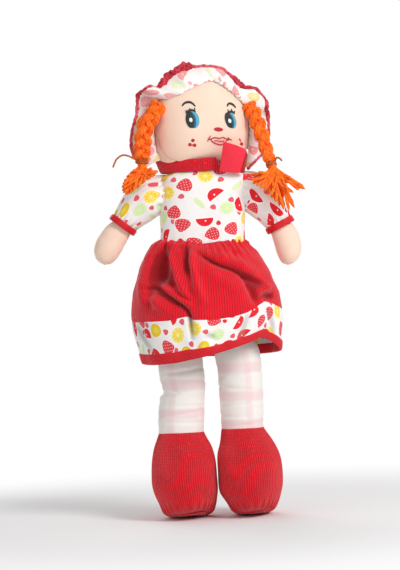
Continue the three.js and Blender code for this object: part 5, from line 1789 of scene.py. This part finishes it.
PLAITS = {
    # places down the plait as shares of the head's half width, depth and height, and the end of its tassel;
    # the side that it shows broad; half sizes of braid and strand in mm, and how they swell from root to tie;
    # the tie's radius in mm; and pixels for the tips of the tassel and the tie's loose end
    "left": {
        "path": [
            (0.919, -0.587, 0.606), (1.002, -0.620, 0.524), (1.094, -0.685, 0.379),
            (1.147, -0.846, 0.214), (1.186, -1.030, 0.029), (1.219, -1.155, -0.091),
        ],
        "end": (1.311, -1.417, -0.367), "broad": (0.8, 0.6, 0.0), "sizes": (4.6, 2.4, 3.9),
        "swell": [0.85, 1.05, 1.05, 0.84, 0.70], "tie": 4.6,
        "fan": [
            (249, 175), (251, 182), (256, 186), (262, 190), (268, 196), (274, 200), (280, 207),
            (287, 211), (295, 208), (292, 202), (290, 196), (297, 191), (306, 189), (301, 185),
        ],
        "fan_depth": -33.0,
        "tie_end": [
            (274.5, 165.5, -22), (275.2, 160.5, -25), (277.0, 157.6, -27), (280, 158.6, -28),
            (282.2, 161, -28),
        ],
    },
    "right": {
        "path": [
            (-0.952, -0.411, 0.635), (-1.062, -0.480, 0.523), (-1.246, -0.464, 0.404),
            (-1.327, -0.460, 0.248), (-1.365, -0.445, 0.115), (-1.379, -0.468, 0.002),
        ],
        "end": (-1.490, -0.480, -0.221), "broad": (1.0, 0.3, 0.0), "sizes": (4.8, 2.5, 4.0),
        "swell": [0.9, 1.0, 1.12, 1.08, 0.96], "tie": 5.8,
        "fan": [
            (158.5, 171.5), (156, 174.5), (152, 177.5), (147, 181), (142, 184.5), (137, 188.5),
            (131, 192.5), (126, 195.5), (122.5, 193), (121.5, 187.5), (123.5, 181), (127.5, 175),
        ],
        "fan_depth": -38.0,
        "tie_end": [
            (135, 159.5, -41), (129, 156.2, -43), (122.5, 155.2, -43), (117, 158.8, -43),
            (114.4, 163.5, -43), (112.8, 168.0, -43),
        ],
    },
}


def yarn_material(name, dark, bright):
    """Spun acrylic yarn: plies that twist round each other, with a soft halo of fibre."""
    material, tree, shader = start_material(name, 0.85, sheen=0.12)
    plies = bands(tree, cloth_place(tree), YARN_PLY, "DIAGONAL", 1.2, 2.0)
    both = compute(tree, "MULTIPLY_ADD", plies, 0.45, clouds(tree, own_place(tree), YARN_SHADE))
    tone = mix(tree, ramp(tree, both, 0.4, 0.95), dark, bright)
    finish_surface(tree, shader, tone, plies, YARN_RELIEF, 0.6)
    return material


def add_yarn(bm, line, radius, sides=7):
    """One round yarn along a line, its ends drawn to a point."""
    steps = len(line) - 1
    length = sum((b - a).length for a, b in zip(line, line[1:]))
    across = (line[1] - line[0]).orthogonal().normalized()
    frames = []
    for i in range(steps + 1):
        heading = (line[min(i + 1, steps)] - line[max(i - 1, 0)]).normalized()
        across = (across - heading * across.dot(heading)).normalized()
        frames.append((across.copy(), heading.cross(across)))

    def place(u, v):
        i = int(round(v * steps))
        girth = radius if 0 < i < steps else 0
        one, other = frames[i]
        return line[i] + (one * math.cos(2 * math.pi * u) + other * math.sin(2 * math.pi * u)) * girth

    laid(bm, sides, steps, (2 * math.pi * radius, length), place)


def finish_yarns(name, bm, material, node):
    """Makes a piece of yarns, each of which faces outward."""
    bmesh.ops.recalc_face_normals(bm, faces=bm.faces)
    piece = make_piece(name, bm, material)
    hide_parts(node)
    return piece


hair = yarn_material("orange_yarn", "#F85404", "#FF8216")
tie_wool = yarn_material("brown_yarn", "#9A4212", "#CC6A26")
golden = math.pi * (3 - math.sqrt(5))
for side, plait in PLAITS.items():
    places = [
        head_place @ Vector((x * face_high.x, y * -face_low.y, face_low.z + z * head_height))
        for x, y, z in [*plait["path"], plait["end"]]
    ]
    line = smooth_line(places[:-1], PLAIT_STEPS)
    length = sum((b - a).length for a, b in zip(line, line[1:]))
    broad_size, thin_size, strand_size = plait["sizes"]
    bm = bmesh.new()
    for strand in range(3):
        core, sides_at = [], []
        for i, spot in enumerate(line):
            t = i / PLAIT_STEPS
            heading = (line[min(i + 1, PLAIT_STEPS)] - line[max(i - 1, 0)]).normalized()
            broad = Vector(plait["broad"])
            broad = (broad - heading * broad.dot(heading)).normalized()
            thin = heading.cross(broad)
            phase = 2 * math.pi * (strand / 3 + t * length / PLAIT_CYCLE)
            swell = float(np.interp(t, PLAIT_SWELL_PLACES, plait["swell"]))
            offset = broad * broad_size * math.sin(phase) + thin * thin_size * math.sin(2 * phase)
            core.append(spot + offset * swell * MM)
            sides_at.append((broad, thin, swell))
        for number in range(YARNS_IN_STRAND):
            ring = 0 if number == 0 else strand_size * YARN_RING_SHARE * MM
            path = []
            for i, (spot, (broad, thin, swell)) in enumerate(zip(core, sides_at)):
                turn = 2 * math.pi * number / (YARNS_IN_STRAND - 1) + STRAND_TWIST * i + strand
                path.append(spot + (broad * math.cos(turn) + thin * math.sin(turn)) * ring * swell)
            add_yarn(bm, path, YARN_RADIUS * strand_size / STRAND_YARN_SIZE)
    piece = finish_yarns(f"{side}_plait", bm, hair, f"{side}_braid")
    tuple(line[SWINGS_FROM])
    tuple(line[SWINGS_FULLY_FROM])
    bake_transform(piece)

    heading = (places[-2] - places[-3]).normalized()
    one = heading.orthogonal().normalized()
    other = heading.cross(one)
    bm = bmesh.new()
    path = []
    for i in range(TIE_STEPS + 1):
        angle = 2 * math.pi * TIE_TURNS * i / TIE_STEPS
        spot = places[-2] + heading * (TIE_FROM + TIE_RISE * i / TIE_STEPS)
        path.append(spot + (one * math.cos(angle) + other * math.sin(angle)) * plait["tie"] * MM)
    add_yarn(bm, path, TIE_RADIUS)
    ends = [seen_at(column, row, depth * MM) for column, row, depth in plait["tie_end"]]
    add_yarn(bm, smooth_line(ends, 24), TIE_END_RADIUS)
    piece = finish_yarns(f"{side}_plait_tie", bm, tie_wool, f"{side}_braid_tie")
    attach(piece, f"{side}_braid")

    root = places[-2] + heading * TASSEL_ROOT
    fan = smooth_line([(*pixel, 0) for pixel in plait["fan"]], TASSEL_YARNS - 1)
    bm = bmesh.new()
    for number, tip in enumerate(fan):
        depth = plait["fan_depth"] + TASSEL_DEPTH * math.cos(2.4 * number)
        shortest, more = TASSEL_SHORT_SHARES
        reach = 1.0 if number % 3 == 0 else shortest + more * math.sin(5.1 * number)
        far = seen_at(tip.x, tip.y, depth * MM)
        spread = one * math.cos(golden * number) + other * math.sin(golden * number)
        start = root + spread * TASSEL_ROOT_RADIUS
        far = root + (far - root) * reach
        wiggle = Vector((math.sin(number), 0.6 * math.cos(2 * number), 0.5 * math.sin(3 * number)))
        points = [start + heading * lead for lead in TASSEL_LEAD] + [far]
        points[2] += (far - start) * TASSEL_BEND_SHARE + wiggle * TASSEL_WIGGLE
        add_yarn(bm, smooth_line(points, 24), TASSEL_YARN_RADIUS, sides=6)
    piece = finish_yarns(f"{side}_plait_end", bm, hair, f"{side}_braid_tassel")
    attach(piece, f"{side}_braid")

low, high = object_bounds()
{"cad": [list(corner) for corner in cad_box], "visual": [list(low), list(high)]}
